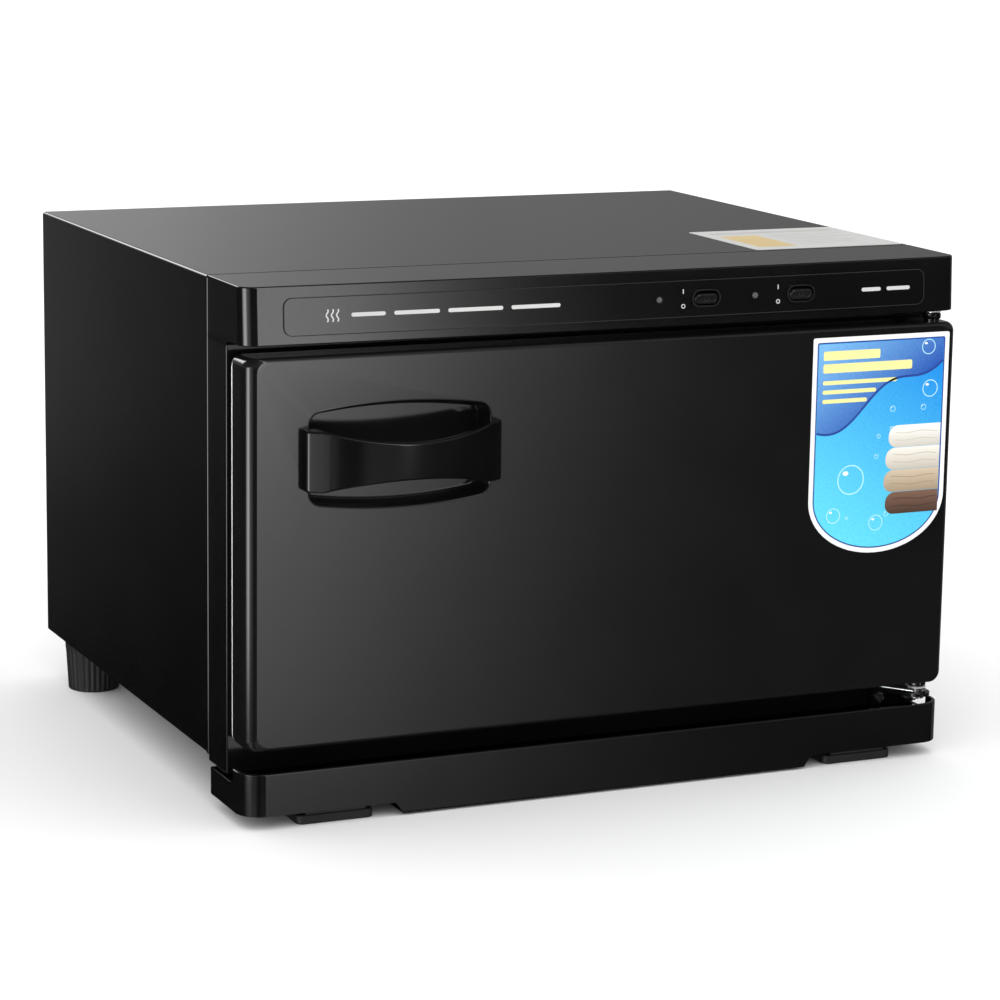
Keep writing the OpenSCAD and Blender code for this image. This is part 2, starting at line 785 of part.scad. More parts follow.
// Plan of the strap: an arch 3.5 mm thick between two end blocks
module strap_plan() {
    foot = 7.5;
    rise = strap_out - foot;
    chord = strap_w / 2;
    arc_r = (chord * chord + rise * rise) / (2 * rise);
    translate([-handle_x, y_face]) {
        intersection() {
            translate([0, arc_r - strap_out]) difference() {
                circle(r = arc_r, $fn = 180);
                circle(r = arc_r - 3.5, $fn = 180);
            }
            translate([-chord, -strap_out - 1]) square([2 * chord, strap_out + 1]);
        }
        for (side = [-1, 1]) translate([side * (chord - 5.5) - 5.5, -foot]) square([11, foot]);
    }
}

module handle_strap() {
    color("#141415") {
        intersection() {
            translate([0, 0, handle_z - 30]) linear_extrude(60) strap_plan();
            along_y([y_face - strap_out - 1, y_face]) strap_outline();
        }
        for (side = [-1, 1]) difference() {
            block([-handle_x + side * leg_x - 3.3, -handle_x + side * leg_x + 3.3],
                [y_face - 1, cup_floor_y], [handle_z - 8, handle_z + 8]);
            rod_y(-handle_x + side * leg_x, handle_z, [y_face + 2, cup_floor_y + 1], 1.5);
        }
    }
}

module handle_screws() {
    y = cup_floor_y + cup_t;
    color("#b9bcc0") for (side = [-1, 1]) {
        rod_y(-handle_x + side * leg_x, handle_z, [y, y + 1.8], 3.2);
        rod_y(-handle_x + side * leg_x, handle_z, [y_face + 5, y + eps], 1.45);
    }
}

module liner_screws() {
    color("#c9ccd0") for (x = liner_screw_xs) for (z = liner_screw_zs) {
        rod_y(x, z, [door_back, door_back + 1.6], 3);
        rod_y(x, z, [liner_y[0] - 6, door_back + eps], 1.6);
    }
}

// ---------- towel rack and drip tray ----------

rack_x = chamber_w / 2 - 10;
rack_y = [chamber_front + 8, chamber_back - 34];
rack_z = chamber_z + 13;
rack_leg_ys = [rack_y[0] + 30, rack_y[1] - 30];

module wire_rack() {
    wire = 1.4;
    rail = 2;
    cross_r = 1.8;
    knot = 2.6;
    bars = 17;
    color("#d3d6d9") {
        for (side = [-1, 1]) {
            rod_y(side * rack_x, rack_z, rack_y, rail);
            for (y = rack_y) translate([side * rack_x, y, rack_z]) sphere(r = knot);
            for (y = rack_leg_ys) rod_z(side * rack_x, y, [chamber_z + 3, rack_z], cross_r);
        }
        for (y = rack_y) rod_x(y, rack_z, [-rack_x, rack_x], cross_r);
        for (i = [1:bars])
            rod_y(-rack_x + 2 * rack_x * i / (bars + 1), rack_z + 0.9,
                [rack_y[0] - 1, rack_y[1] + 1], wire);
    }
}

module rack_feet() {
    color("#3a3a3b") for (side = [-1, 1]) for (y = rack_leg_ys) difference() {
        rod_z(side * rack_x, y, [chamber_z + 0.3, chamber_z + 8], 3.4);
        rod_z(side * rack_x, y, [chamber_z + 3, chamber_z + 9], 2);
    }
}

tray_floor = 8.2;
sump_floor = 1.2;
sump_x = 129;
sump_slope = 5;

// Section of the tray's underside in X and Z: a deeper sump between the two front feet
module tray_section(grow, top) {
    a = half_w - grow;
    polygon([
        [-a, tray_floor + grow], [-sump_x - sump_slope + grow, tray_floor + grow],
        [-sump_x + grow, sump_floor + grow], [sump_x - grow, sump_floor + grow],
        [sump_x + sump_slope - grow, tray_floor + grow], [a, tray_floor + grow],
        [a, top], [-a, top]
    ]);
}

module drip_tray() {
    y = [y_face, y_face + tray_d];
    corner = 14;
    color("#161617") difference() {
        intersection() {
            along_y(y) tray_section(0, tray_top);
            linear_extrude(tray_top + 1) front_round(cabinet_w, y, corner);
        }
        intersection() {
            along_y([y[0] + tray_t, y[1] - tray_t]) tray_section(tray_t, tray_top + 1);
            linear_extrude(tray_top + 2)
                front_round(cabinet_w - 2 * tray_t, [y[0] + tray_t, y[1] - tray_t], corner - tray_t);
        }
        block([-half_w - 1, half_w + 1], [y_face + 18, y[1] + 1], [tray_low_top, tray_top + 1]);
    }
}

outer_shell();
base_panel();
rear_panel();
front_frame();
control_overlay();
heat_switch_body();
uv_switch_body();
heat_rocker();
uv_rocker();
indicator_lenses();
indicator_board();
chamber_liner();
chamber_insulation();
heater_plate();
heating_element();
thermostat();
thermal_fuse();
uv_lamp();
uv_lamp_holders();
uv_ballast();
terminal_block();
cord_gland();
catch_magnets();
hinge_bracket_top();
hinge_bracket_bottom();
hinge_pin_top();
hinge_pin_bottom();
hinge_washers();
hinge_spring();
bracket_screws();
foot_brackets();
front_feet();
rear_feet();
foot_screws();
rear_screws();
shell_label();
door_panel();
door_liner();
door_insulation();
door_gasket();
handle_cup();
handle_strap();
handle_screws();
liner_screws();
strike_plates();
hinge_bush_top();
hinge_bush_bottom();
door_label();
wire_rack();
rack_feet();
drip_tray();
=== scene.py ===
import math

import bmesh
import bpy
from mathutils import Matrix, Vector


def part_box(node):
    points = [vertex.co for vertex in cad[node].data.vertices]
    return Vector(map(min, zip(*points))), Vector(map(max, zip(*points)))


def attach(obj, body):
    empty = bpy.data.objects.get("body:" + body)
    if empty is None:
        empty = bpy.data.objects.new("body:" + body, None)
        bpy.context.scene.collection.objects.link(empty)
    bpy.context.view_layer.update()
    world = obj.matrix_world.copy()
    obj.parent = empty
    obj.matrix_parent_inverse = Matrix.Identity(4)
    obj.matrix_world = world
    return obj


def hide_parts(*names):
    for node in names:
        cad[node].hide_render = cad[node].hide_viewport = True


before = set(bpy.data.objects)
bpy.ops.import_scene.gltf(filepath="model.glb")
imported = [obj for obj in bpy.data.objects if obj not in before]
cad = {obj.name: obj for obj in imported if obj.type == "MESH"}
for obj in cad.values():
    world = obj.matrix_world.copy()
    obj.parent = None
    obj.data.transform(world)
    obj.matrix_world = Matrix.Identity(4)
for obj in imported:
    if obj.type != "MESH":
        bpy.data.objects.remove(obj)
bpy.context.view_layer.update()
MM = 0.001

# ---------- places taken from the frame ----------

shell_low, shell_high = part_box("outer_shell")
frame_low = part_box("front_frame")[0]
door_low, door_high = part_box("door_panel")
overlay_low, overlay_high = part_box("control_overlay")
strap_low, strap_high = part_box("handle_strap")
cup_low, cup_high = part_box("handle_cup")
chamber_low, chamber_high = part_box("chamber_liner")
seam_y = shell_low.y
face_y = frame_low.y
half_w = shell_high.x
top_z = shell_high.z
header_z = top_z - 32 * MM
strip_y = seam_y - 30 * MM


# ---------- mesh helpers ----------

def add_object(name, bm, sharp=35):
    """Turns a bmesh into a smooth-shaded object whose creases stay sharp."""
    bmesh.ops.remove_doubles(bm, verts=bm.verts, dist=1e-6)
    bmesh.ops.recalc_face_normals(bm, faces=bm.faces)
    mesh = bpy.data.meshes.new(name)
    bm.to_mesh(mesh)
    bm.free()
    for face in mesh.polygons:
        face.use_smooth = True
    mesh.set_sharp_from_angle(angle=math.radians(sharp))
    obj = bpy.data.objects.new(name, mesh)
    bpy.context.scene.collection.objects.link(obj)
    return obj


def fillet(points, radii, steps=8):
    """A closed outline through points, with an arc of its own radius at each of them."""
    out = []
    for i, point in enumerate(points):
        here = Vector(point)
        before = Vector(points[i - 1]) - here
        after = Vector(points[(i + 1) % len(points)]) - here
        radius = radii[i] if isinstance(radii, (list, tuple)) else radii
        if radius < 1e-7:
            out.append(here)
            continue
        half = before.angle(after) / 2
        reach = radius / math.tan(half)
        start = here + before.normalized() * reach
        end = here + after.normalized() * reach
        centre = here + (before.normalized() + after.normalized()).normalized() * radius / math.sin(half)
        a, b = start - centre, end - centre
        turn = a.angle_signed(b)
        for k in range(steps + 1):
            angle = -turn * k / steps
            out.append(centre + Matrix.Rotation(angle, 2) @ a)
    return out


def rounded_box(low, high, radius, steps=8):
    """A counter-clockwise rectangle with round corners."""
    corners = [(low[0], low[1]), (high[0], low[1]), (high[0], high[1]), (low[0], high[1])]
    return fillet(corners, radius, steps)


def pill(centre, half_u, half_v, radius, steps=8):
    """A box with round corners about its centre."""
    u, v = centre
    return rounded_box((u - half_u, v - half_v), (u + half_u, v + half_v), radius, steps)


def oval(centre, half_u, half_v, steps=32):
    """A counter-clockwise ellipse."""
    angles = [2 * math.pi * k / steps for k in range(steps)]
    return [Vector((centre[0] + half_u * math.cos(a), centre[1] + half_v * math.sin(a))) for a in angles]


def disc(centre, radius, steps=32):
    return oval(centre, radius, radius, steps)


def inset(loop, distance):
    """Moves a loop to its left: inwards for an outline, into the plate for a clockwise hole."""
    out = []
    count = len(loop)
    for i, point in enumerate(loop):
        before = point - loop[i - 1]
        after = loop[(i + 1) % count] - point
        if before.length < 1e-9:
            before = after
        if after.length < 1e-9:
            after = before
        a = Vector((-before.y, before.x)).normalized()
        b = Vector((-after.y, after.x)).normalized()
        mid = a + b
        if mid.length < 1e-6:
            mid = a.copy()
        mid.normalize()
        out.append(point + mid * distance / max(mid.dot(a), 0.4))
    return out


PLACES = {
    "x": lambda u, v, w: Vector((w, u, v)),
    "y": lambda u, v, w: Vector((u, w, v)),
    "z": lambda u, v, w: Vector((u, v, w)),
}


def add_ring(bm, loop, depth, axis):
    place = PLACES[axis]
    return [bm.verts.new(place(p.x, p.y, depth)) for p in loop]


def upright(loop, y):
    """A loop that was drawn in X and Z, standing at a depth."""
    return [Vector((p.x, y, p.y)) for p in loop]


def join_rings(bm, rings, around=False):
    """Faces from each ring to the next, and from the last to the first where they run around."""
    for a, b in zip(rings, rings[1:] + rings[:1] if around else rings[1:]):
        for i in range(len(a)):
            j = (i + 1) % len(a)
            bm.faces.new((a[i], a[j], b[j], b[i]))


def cap(bm, rings):
    """Fills the flat area between an outline's ring and its holes' rings."""
    if len(rings) == 1:
        bm.faces.new(rings[0])
        return
    pairs = [(ring[i - 1], ring[i]) for ring in rings for i in range(len(ring))]
    edges = [bm.edges.get(pair) or bm.edges.new(pair) for pair in pairs]
    bmesh.ops.triangle_fill(bm, edges=edges, use_beauty=True)


def edge_profile(low, high, soft_low, soft_high, steps=3):
    """(inset, depth) pairs from one cap to the other, with a round edge at each end."""
    out = []
    for k in range(steps + 1):
        angle = math.pi / 2 * k / steps
        out.append((soft_low * (1 - math.sin(angle)), low + soft_low * (1 - math.cos(angle))))
    for k in range(steps + 1):
        angle = math.pi / 2 * k / steps
        out.append((soft_high * (1 - math.cos(angle)), high - soft_high * (1 - math.sin(angle))))
    return out


def swept(name, parts, axis):
    """Walls round each loop along its (inset, depth) pairs, with a flat face across both ends of them."""
    bm = bmesh.new()
    ends = []
    for loop, pairs in parts:
        rings = [add_ring(bm, inset(loop, d), depth, axis) for d, depth in pairs]
        join_rings(bm, rings)
        ends.append((rings[0], rings[-1]))
    cap(bm, [first for first, last in ends])
    cap(bm, [last for first, last in ends])
    return add_object(name, bm)


def plate(name, outline, holes, low, high, axis="y", soft=0.3 * MM, soft_high=None, steps=3):
    """A plate with holes and round edges. Outline counter-clockwise, holes clockwise."""
    pairs = edge_profile(low, high, soft, soft if soft_high is None else soft_high, steps)
    return swept(name, [(loop, pairs) for loop in [outline, *holes]], axis)


def pan(name, outline, holes, front, back, skin, soft_front, soft_back, steps=8):
    """A tray-shaped skin, open at the back: front face with holes, side walls, a round front edge."""
    path = edge_profile(front, back, soft_front, soft_back, steps)
    path += [(skin + soft_back, back), (skin, back - soft_back), (skin, front + skin + soft_front)]
    front_edge = edge_profile(front, back, soft_front, 0, steps)[:steps]
    path += [(d + skin, y + skin) for d, y in reversed(front_edge)]
    hole_path = edge_profile(front, front + skin, 0.4 * MM, 0.1 * MM, 3)
    return swept(name, [(outline, path)] + [(loop, hole_path) for loop in holes], "y")


def loft(name, rings, around=False, sharp=35):
    """A skin through rings of equally many points, with flat ends unless the rings run around."""
    bm = bmesh.new()
    rows = [[bm.verts.new(p) for p in ring] for ring in rings]
    join_rings(bm, rows, around)
    if not around:
        bm.faces.new(rows[0])
        bm.faces.new(rows[-1])
    return add_object(name, bm, sharp)


def turned(name, profile, centre, axis="z", sides=48, ribs=0, rib_depth=0.0):
    """A closed profile turned round an axis: (radius, height) pairs in mm, and where ribs are cut."""
    rings = []
    for k in range(sides):
        angle = 2 * math.pi * k / sides
        wave = rib_depth * (0.5 - 0.5 * math.cos(ribs * angle)) if ribs else 0.0
        ring = []
        for radius, height, *ribbed in profile:
            r = radius * MM - (wave if ribbed and ribbed[0] else 0.0)
            ring.append(Vector(centre) + PLACES[axis](r * math.cos(angle), r * math.sin(angle), height * MM))
        rings.append(ring)
    return loft(name, rings, True)


def tube(name, points, radius, sides=12, closed=False):
    """A round wire along a list of points, with flat ends unless it is closed."""
    rings = []
    normal = Vector((0, 0, 1))
    count = len(points)
    for i, point in enumerate(points):
        ahead, behind = points[min(i + 1, count - 1)], points[max(i - 1, 0)]
        if closed:
            ahead, behind = points[(i + 1) % count], points[i - 1]
        along = (ahead - behind).normalized()
        side = along.cross(normal)
        if side.length < 1e-4:
            side = along.cross(Vector((1, 0, 0)))
        side.normalize()
        normal = side.cross(along).normalized()
        angles = [2 * math.pi * k / sides for k in range(sides)]
        rings.append([point + (side * math.cos(a) + normal * math.sin(a)) * radius for a in angles])
    return loft(name, rings, closed)


def cut_along_x(obj, spacing):
    """Adds cuts across the mesh, so that it can bend along X."""
    bm = bmesh.new()
    bm.from_mesh(obj.data)
    low = min(v.co.x for v in bm.verts)
    high = max(v.co.x for v in bm.verts)
    count = int((high - low) / spacing)
    for k in range(1, count):
        geom = bm.verts[:] + bm.edges[:] + bm.faces[:]
        bmesh.ops.bisect_plane(bm, geom=geom, plane_co=(low + k * spacing, 0, 0), plane_no=(1, 0, 0),
                               dist=1e-7)
    bm.to_mesh(obj.data)
    bm.free()


def subtract(obj, cutters):
    """Cuts closed meshes out of an object and deletes them."""
    for cutter in cutters:
        modifier = obj.modifiers.new("cut", "BOOLEAN")
        modifier.operation = "DIFFERENCE"
        modifier.solver = "EXACT"
        modifier.object = cutter
        graph = bpy.context.evaluated_depsgraph_get()
        mesh = bpy.data.meshes.new_from_object(obj.evaluated_get(graph))
        obj.modifiers.clear()
        obj.data = mesh
        bpy.data.objects.remove(cutter)
    obj.data.set_sharp_from_angle(angle=math.radians(35))


def soften(node, width):
    """Gives a CAD node round edges and smooth curved faces."""
    obj = cad[node]
    for face in obj.data.polygons:
        face.use_smooth = True
    flat = obj.modifiers.new("flat faces", "DECIMATE")
    flat.decimate_type = "DISSOLVE"
    flat.angle_limit = math.radians(1.5)
    bevel = obj.modifiers.new("round edges", "BEVEL")
    bevel.width = width
    bevel.segments = 2
    bevel.limit_method = "ANGLE"
    bevel.angle_limit = math.radians(32)
    bevel.harden_normals = True
    bevel.use_clamp_overlap = True


def put(obj, body, material, *replaced):
    """Gives a piece its material and body, and hides the CAD nodes it stands for."""
    obj.data.materials.clear()
    obj.data.materials.append(material)
    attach(obj, body)
    if replaced:
        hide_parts(*replaced)
    return obj


def dress(material, *nodes):
    """Gives carried-over CAD nodes a material."""
    for node in nodes:
        cad[node].data.materials.clear()
        cad[node].data.materials.append(material)


# ---------- materials ----------


def new_material(name):
    material = bpy.data.materials.new(name)
    material.use_nodes = True
    tree = material.node_tree
    return material, tree, tree.nodes["Principled BSDF"]


def noise(tree, scale, detail=3.0, roughness=0.5, stretch=(1, 1, 1)):
    """A noise texture in object space, in features per metre."""
    place = tree.nodes.new("ShaderNodeTexCoord")
    mapping = tree.nodes.new("ShaderNodeMapping")
    mapping.inputs["Scale"].default_value = stretch
    texture = tree.nodes.new("ShaderNodeTexNoise")
    texture.inputs["Scale"].default_value = scale
    texture.inputs["Detail"].default_value = detail
    texture.inputs["Roughness"].default_value = roughness
    tree.links.new(place.outputs["Object"], mapping.inputs["Vector"])
    tree.links.new(mapping.outputs["Vector"], texture.inputs["Vector"])
    return texture.outputs["Fac"]


def remap(tree, value, low, high, start=0.3, end=0.7):
    node = tree.nodes.new("ShaderNodeMapRange")
    node.inputs["From Min"].default_value = start
    node.inputs["From Max"].default_value = end
    node.inputs["To Min"].default_value = low
    node.inputs["To Max"].default_value = high
    tree.links.new(value, node.inputs["Value"])
    return node.outputs["Result"]


def rgba(colour):
    """A colour and its alpha. A single number is a grey."""
    return (*colour, 1) if isinstance(colour, tuple) else (colour, colour, colour, 1)


def blend_colours(tree, value, a, b, start=0.3, end=0.7):
    node = tree.nodes.new("ShaderNodeValToRGB")
    node.color_ramp.elements[0].position = start
    node.color_ramp.elements[1].position = end
    node.color_ramp.elements[0].color = rgba(a)
    node.color_ramp.elements[1].color = rgba(b)
    tree.links.new(value, node.inputs["Fac"])
    return node.outputs["Color"]


def bump(tree, shader, value, strength, distance):
    node = tree.nodes.new("ShaderNodeBump")
    node.inputs["Strength"].default_value = strength
    node.inputs["Distance"].default_value = distance
    tree.links.new(value, node.inputs["Height"])
    tree.links.new(node.outputs["Normal"], shader.inputs["Normal"])


def surface(name, colour, other, rough, spread=0.04, metal=0.0, specular=0.5, grain=900, peel=0.02,
            peel_scale=700, stretch=(1, 1, 1), mottle=25):
    """A solid finish: slight colour variation, uneven gloss and a fine surface texture."""
    material, tree, shader = new_material(name)
    tree.links.new(blend_colours(tree, noise(tree, mottle), colour, other), shader.inputs["Base Color"])
    gloss = noise(tree, grain, 4, 0.6, stretch)
    tree.links.new(remap(tree, gloss, rough - spread, rough + spread), shader.inputs["Roughness"])
    shader.inputs["Metallic"].default_value = metal
    shader.inputs["Specular IOR Level"].default_value = specular
    bump(tree, shader, noise(tree, peel_scale, 2, 0.5, stretch), peel, 0.1 * MM)
    return material


shell_paint = surface("black shell enamel", 0.003, 0.0045, 0.12, 0.02,
                      peel=0.04, peel_scale=500)
inner_paint = surface("satin black sheet", 0.010, 0.014, 0.42, 0.05, peel=0.2)
gloss_black = surface("gloss black moulding", 0.004, 0.006, 0.11, 0.02,
                      peel=0.02, peel_scale=260)
face_black = surface("gloss black door skin", 0.006, 0.0075, 0.10, 0.02,
                     peel=0.02, peel_scale=220)
strap_black = surface("handle moulding", 0.003, 0.005, 0.13, 0.02, peel=0.02,
                      peel_scale=300)
overlay_black = surface("overlay film", (0.0035, 0.0035, 0.0037), (0.005, 0.005, 0.0052), 0.12, 0.02,
                        peel=0.02)
switch_black = surface("switch moulding", 0.006, 0.009, 0.2, 0.04, specular=0.4,
                       peel=0.04)
print_grey = surface("pale print", (0.56, 0.56, 0.55), (0.62, 0.62, 0.61), 0.45, 0.05, peel=0.05)
dim_print = surface("dim print", 0.022, 0.028, 0.5, 0.05, specular=0.1, peel=0.05)
lens_grey = surface("smoke lens", (0.09, 0.09, 0.088), (0.12, 0.12, 0.115), 0.12, 0.03, peel=0.02)
rubber = surface("black rubber", 0.012, 0.018, 0.55, 0.08, specular=0.35,
                 peel=0.35, peel_scale=1400)
gasket_rubber = surface("grey gasket rubber", (0.03, 0.03, 0.032), (0.045, 0.045, 0.047), 0.6, 0.08,
                        specular=0.3, peel=0.3, peel_scale=1200)
bright_steel = surface("zinc plated steel", (0.62, 0.63, 0.65), (0.72, 0.73, 0.74), 0.24, 0.08, metal=1.0,
                       peel=0.08, grain=1500)
washer_steel = surface("dull zinc", (0.60, 0.60, 0.61), (0.70, 0.70, 0.71), 0.4, 0.05, metal=0.3, peel=0.05)
rim_steel = surface("bright rim", (0.74, 0.74, 0.75), (0.80, 0.80, 0.81), 0.38, 0.05, metal=1.0, peel=0.05)
aluminium = surface("rolled aluminium", (0.62, 0.63, 0.64), (0.70, 0.71, 0.72), 0.34, 0.07, metal=1.0,
                    grain=700, peel=0.12, peel_scale=600, stretch=(0.05, 1, 1))
chrome = surface("polished wire", (0.72, 0.73, 0.75), (0.80, 0.80, 0.82), 0.12, 0.04, metal=1.0, peel=0.02)
ferrite = surface("ferrite", (0.06, 0.06, 0.065), (0.09, 0.09, 0.095), 0.5, 0.08, peel=0.2)
foam = surface("glass-fibre felt", (0.55, 0.50, 0.36), (0.68, 0.63, 0.50), 0.9, 0.05, specular=0.2,
               peel=1.0, peel_scale=900, mottle=180)
board_green = surface("circuit board", (0.02, 0.12, 0.05), (0.03, 0.16, 0.07), 0.35, 0.05, mottle=300)
element_steel = surface("oxidised element", (0.20, 0.19, 0.18), (0.34, 0.32, 0.30), 0.4, 0.1, metal=1.0,
                        mottle=120, peel=0.1)
ceramic = surface("unglazed ceramic", (0.62, 0.58, 0.50), (0.72, 0.68, 0.60), 0.6, 0.06, peel=0.2)
brass = surface("plain brass", (0.60, 0.42, 0.18), (0.68, 0.50, 0.24), 0.28, 0.08, metal=1.0, peel=0.05)
holder_white = surface("moulded white", (0.70, 0.69, 0.65), (0.76, 0.75, 0.71), 0.4, 0.05, peel=0.05)
ballast_grey = surface("grey enamel", (0.10, 0.11, 0.13), (0.13, 0.14, 0.16), 0.35, 0.06, peel=0.1)
paper = surface("label paper", (0.62, 0.62, 0.61), (0.66, 0.66, 0.65), 0.35, 0.06, peel=0.05, mottle=60)
ochre = surface("ochre print", (0.66, 0.50, 0.24), (0.72, 0.56, 0.30), 0.4, 0.05, peel=0.05)
pale_bar = surface("faded print", (0.50, 0.50, 0.49), (0.56, 0.55, 0.53), 0.4, 0.05, peel=0.05)
sticker_white = surface("sticker white", 0.86, 0.90, 0.25, 0.04, peel=0.03)

lamp_glass, lamp_tree, lamp_shader = new_material("lamp glass")
lamp_shader.inputs["Transmission Weight"].default_value = 0.6
lamp_shader.inputs["IOR"].default_value = 1.46
lamp_tree.links.new(blend_colours(lamp_tree, noise(lamp_tree, 40), (0.80, 0.86, 0.95), (0.88, 0.93, 0.98)),
                    lamp_shader.inputs["Base Color"])
lamp_tree.links.new(remap(lamp_tree, noise(lamp_tree, 300), 0.05, 0.18), lamp_shader.inputs["Roughness"])


# ---------- shapes of this cabinet ----------

hinge_x, hinge_y = half_w - 13 * MM, face_y + 11 * MM
door_half = door_high.x
switch_z = header_z + 15 * MM
switch_xs = [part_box(n)[0].x + 11 * MM for n in ("heat_switch_body", "uv_switch_body")]
lamp_xs = [x - 29.7 * MM for x in switch_xs]
handle_x = (strap_low.x + strap_high.x) / 2
handle_z = (strap_low.z + strap_high.z) / 2
cup_margin = 3.6 * MM
cup_half = (cup_high.x - cup_low.x) / 2 - cup_margin
header_corner = 8.7 * MM
header_bow = 3.5 * MM
header_lean = math.tan(math.radians(3))
hem_r = 1.6 * MM
header_inset = 0.6 * MM


def bow_header(obj):
    """Bends a piece so that the header's face curves back at its ends and leans back at its top."""
    depth = seam_y - face_y
    for vertex in obj.data.vertices:
        p = vertex.co
        share = min(max((seam_y - p.y) / depth, 0), 1)
        p.y += share * (header_bow * (p.x / half_w) ** 2 + header_lean * max(p.z - header_z, 0))
    obj.data.update()
    return obj


def weighted(obj):
    modifier = obj.modifiers.new("flat faces stay flat", "WEIGHTED_NORMAL")
    modifier.keep_sharp = True
    modifier.weight = 80
    return obj


def plan_outline(half, front, back, corner, steps=10):
    """A plan whose two front corners are round, counter-clockwise seen from above."""
    points = [(-half, front), (half, front), (half, back), (-half, back)]
    return fillet(points, [corner, corner, 0, 0], steps)


def hole(loop):
    return list(reversed(loop))


def barrel(grow=0.0):
    """Outline of the recess behind the handle: straight sides, bulging top and bottom, round corners."""
    half_u = cup_half
    half_v = (cup_high.z - cup_low.z) / 2 - cup_margin
    bulge, corner = 4.6 * MM, 8 * MM
    arc = (half_u ** 2 + bulge ** 2) / (2 * bulge)
    centre_v = half_v - arc
    corner_u = half_u - corner
    corner_v = centre_v + math.sqrt((arc - corner) ** 2 - corner_u ** 2)
    spread = math.atan2(corner_u, corner_v - centre_v)
    out = []

    def sweep(u, v, radius, start, end, steps):
        for k in range(steps):
            angle = start + (end - start) * k / steps
            out.append(Vector((handle_x + u + radius * math.cos(angle),
                               handle_z + v + radius * math.sin(angle))))

    quarter = math.pi / 2
    sweep(0, -centre_v, arc + grow, 3 * quarter - spread, 3 * quarter + spread, 24)
    sweep(corner_u, -corner_v, corner + grow, 3 * quarter + spread, 4 * quarter, 10)
    sweep(corner_u, corner_v, corner + grow, 0, quarter - spread, 10)
    sweep(0, centre_v, arc + grow, quarter - spread, quarter + spread, 24)
    sweep(-corner_u, corner_v, corner + grow, quarter + spread, 2 * quarter, 10)
    sweep(-corner_u, -corner_v, corner + grow, 2 * quarter, 3 * quarter - spread, 10)
    return out


# ---------- casing ----------

sheet = 1.2 * MM
low_z = shell_low.z
flange_x = half_w - 14 * MM
fold = [(-flange_x, low_z), (-half_w, low_z), (-half_w, top_z), (half_w, top_z), (half_w, low_z),
        (flange_x, low_z), (flange_x, low_z + sheet), (half_w - sheet, low_z + sheet),
        (half_w - sheet, top_z - sheet), (-half_w + sheet, top_z - sheet), (-half_w + sheet, low_z + sheet),
        (-flange_x, low_z + sheet)]
fold_radii = [0, 2 * MM, 2 * MM, 2 * MM, 2 * MM, 0, 0, 0.8 * MM, 0.8 * MM, 0.8 * MM, 0.8 * MM, 0]
shell = plate("shell_sheet", hole(fillet(fold, fold_radii, 6)), [], seam_y + hem_r, shell_high.y, "y",
              0.05 * MM)
put(weighted(shell), "cabinet", shell_paint, "outer_shell")
hem_x, hem_y = half_w - hem_r, seam_y + hem_r
hem_line = fillet([(-hem_x, low_z), (-hem_x, top_z - hem_r), (hem_x, top_z - hem_r), (hem_x, low_z)],
                  [0, 0.5 * MM, 0.5 * MM, 0], 6)
hem = tube("shell_hem", upright(hem_line, hem_y), hem_r, 24)
put(hem, "cabinet", shell_paint, "outer_shell")

rear_low, rear_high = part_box("rear_panel")
gland_low, gland_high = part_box("cord_gland")
gland_x, gland_z = (gland_low.x + gland_high.x) / 2, (gland_low.z + gland_high.z) / 2
vent_rows, vent_step = 10, 12
vent_x, vent_z = 90 * MM, 112 * MM
vent_half = 55 * MM
vents = []
for row in range(vent_rows):
    for x in (-vent_x, vent_x):
        vents.append(hole(pill((x, vent_z + row * vent_step * MM), vent_half, 2 * MM, 1.9 * MM, 6)))
gland_hole = hole(disc((gland_x, gland_z), 6.5 * MM))
screw_holes = [hole(disc((side * (half_w - 14 * MM), z * MM), 1.7 * MM, 16))
               for side in (-1, 1) for z in (45, 165, 285)]
rear = plate("rear_sheet", rounded_box((rear_low.x, rear_low.z), (rear_high.x, rear_high.z), 2 * MM),
             [*vents, gland_hole, *screw_holes], rear_low.y, rear_high.y, "y", 0.3 * MM)
put(weighted(rear), "cabinet", inner_paint, "rear_panel")

bore = 3.6
gland_profile = [(bore, -4.5), (6, -4.5), (6.4, -3), (8.2, -2.7), (8.2, -0.2), (6.3, 0), (6.3, 1.2),
                 (9.4, 1.3), (10, 1.9), (10, 3.1), (9.4, 3.7), (6.6, 3.7), (6.3, 4.4), (6, 7), (5.2, 7.2),
                 (bore, 7)]
gland = turned("gland_body", gland_profile, (gland_x, rear_low.y, gland_z), "y", 48)
put(gland, "cabinet", rubber, "cord_gland")

# ---------- header ----------

wall = 2.5 * MM
seam_gap = 0.45 * MM
header_drop = 0.3 * MM
cut_every = 9 * MM
header_plan = plan_outline(half_w - header_inset, face_y, seam_y + 4 * MM, header_corner)
header = plate("header_moulding", header_plan, [], header_z - header_drop, top_z, "z", 0.7 * MM, 0.9 * MM, 5)
cavity_plan = plan_outline(half_w - wall, face_y + wall, seam_y + 5 * MM, header_corner - wall)
cavity = plate("cavity", cavity_plan, [], header_z + wall, top_z - wall, "z", 0.2 * MM)
behind_plan = rounded_box((-half_w - MM, seam_y - seam_gap), (half_w + MM, seam_y + 9 * MM), 0.1 * MM)
behind = plate("behind", behind_plan, [], header_z - MM, top_z + MM, "z", 0.05 * MM)
control_holes = [pill((x, switch_z), 9.3 * MM, 5.3 * MM, 5.2 * MM) for x in switch_xs]
control_holes += [disc((x, switch_z), 1.9 * MM, 24) for x in lamp_xs]
pockets = [cavity, behind]
pockets += [plate("pocket", loop, [], face_y - MM, face_y + 4 * MM) for loop in control_holes]
pockets.append(plate("pocket", disc((hinge_x, hinge_y), 3.1 * MM, 24), [], header_z - MM,
                     header_z + 4 * MM, "z"))
subtract(header, pockets)
cut_along_x(header, cut_every)
put(weighted(bow_header(header)), "cabinet", gloss_black, "front_frame")

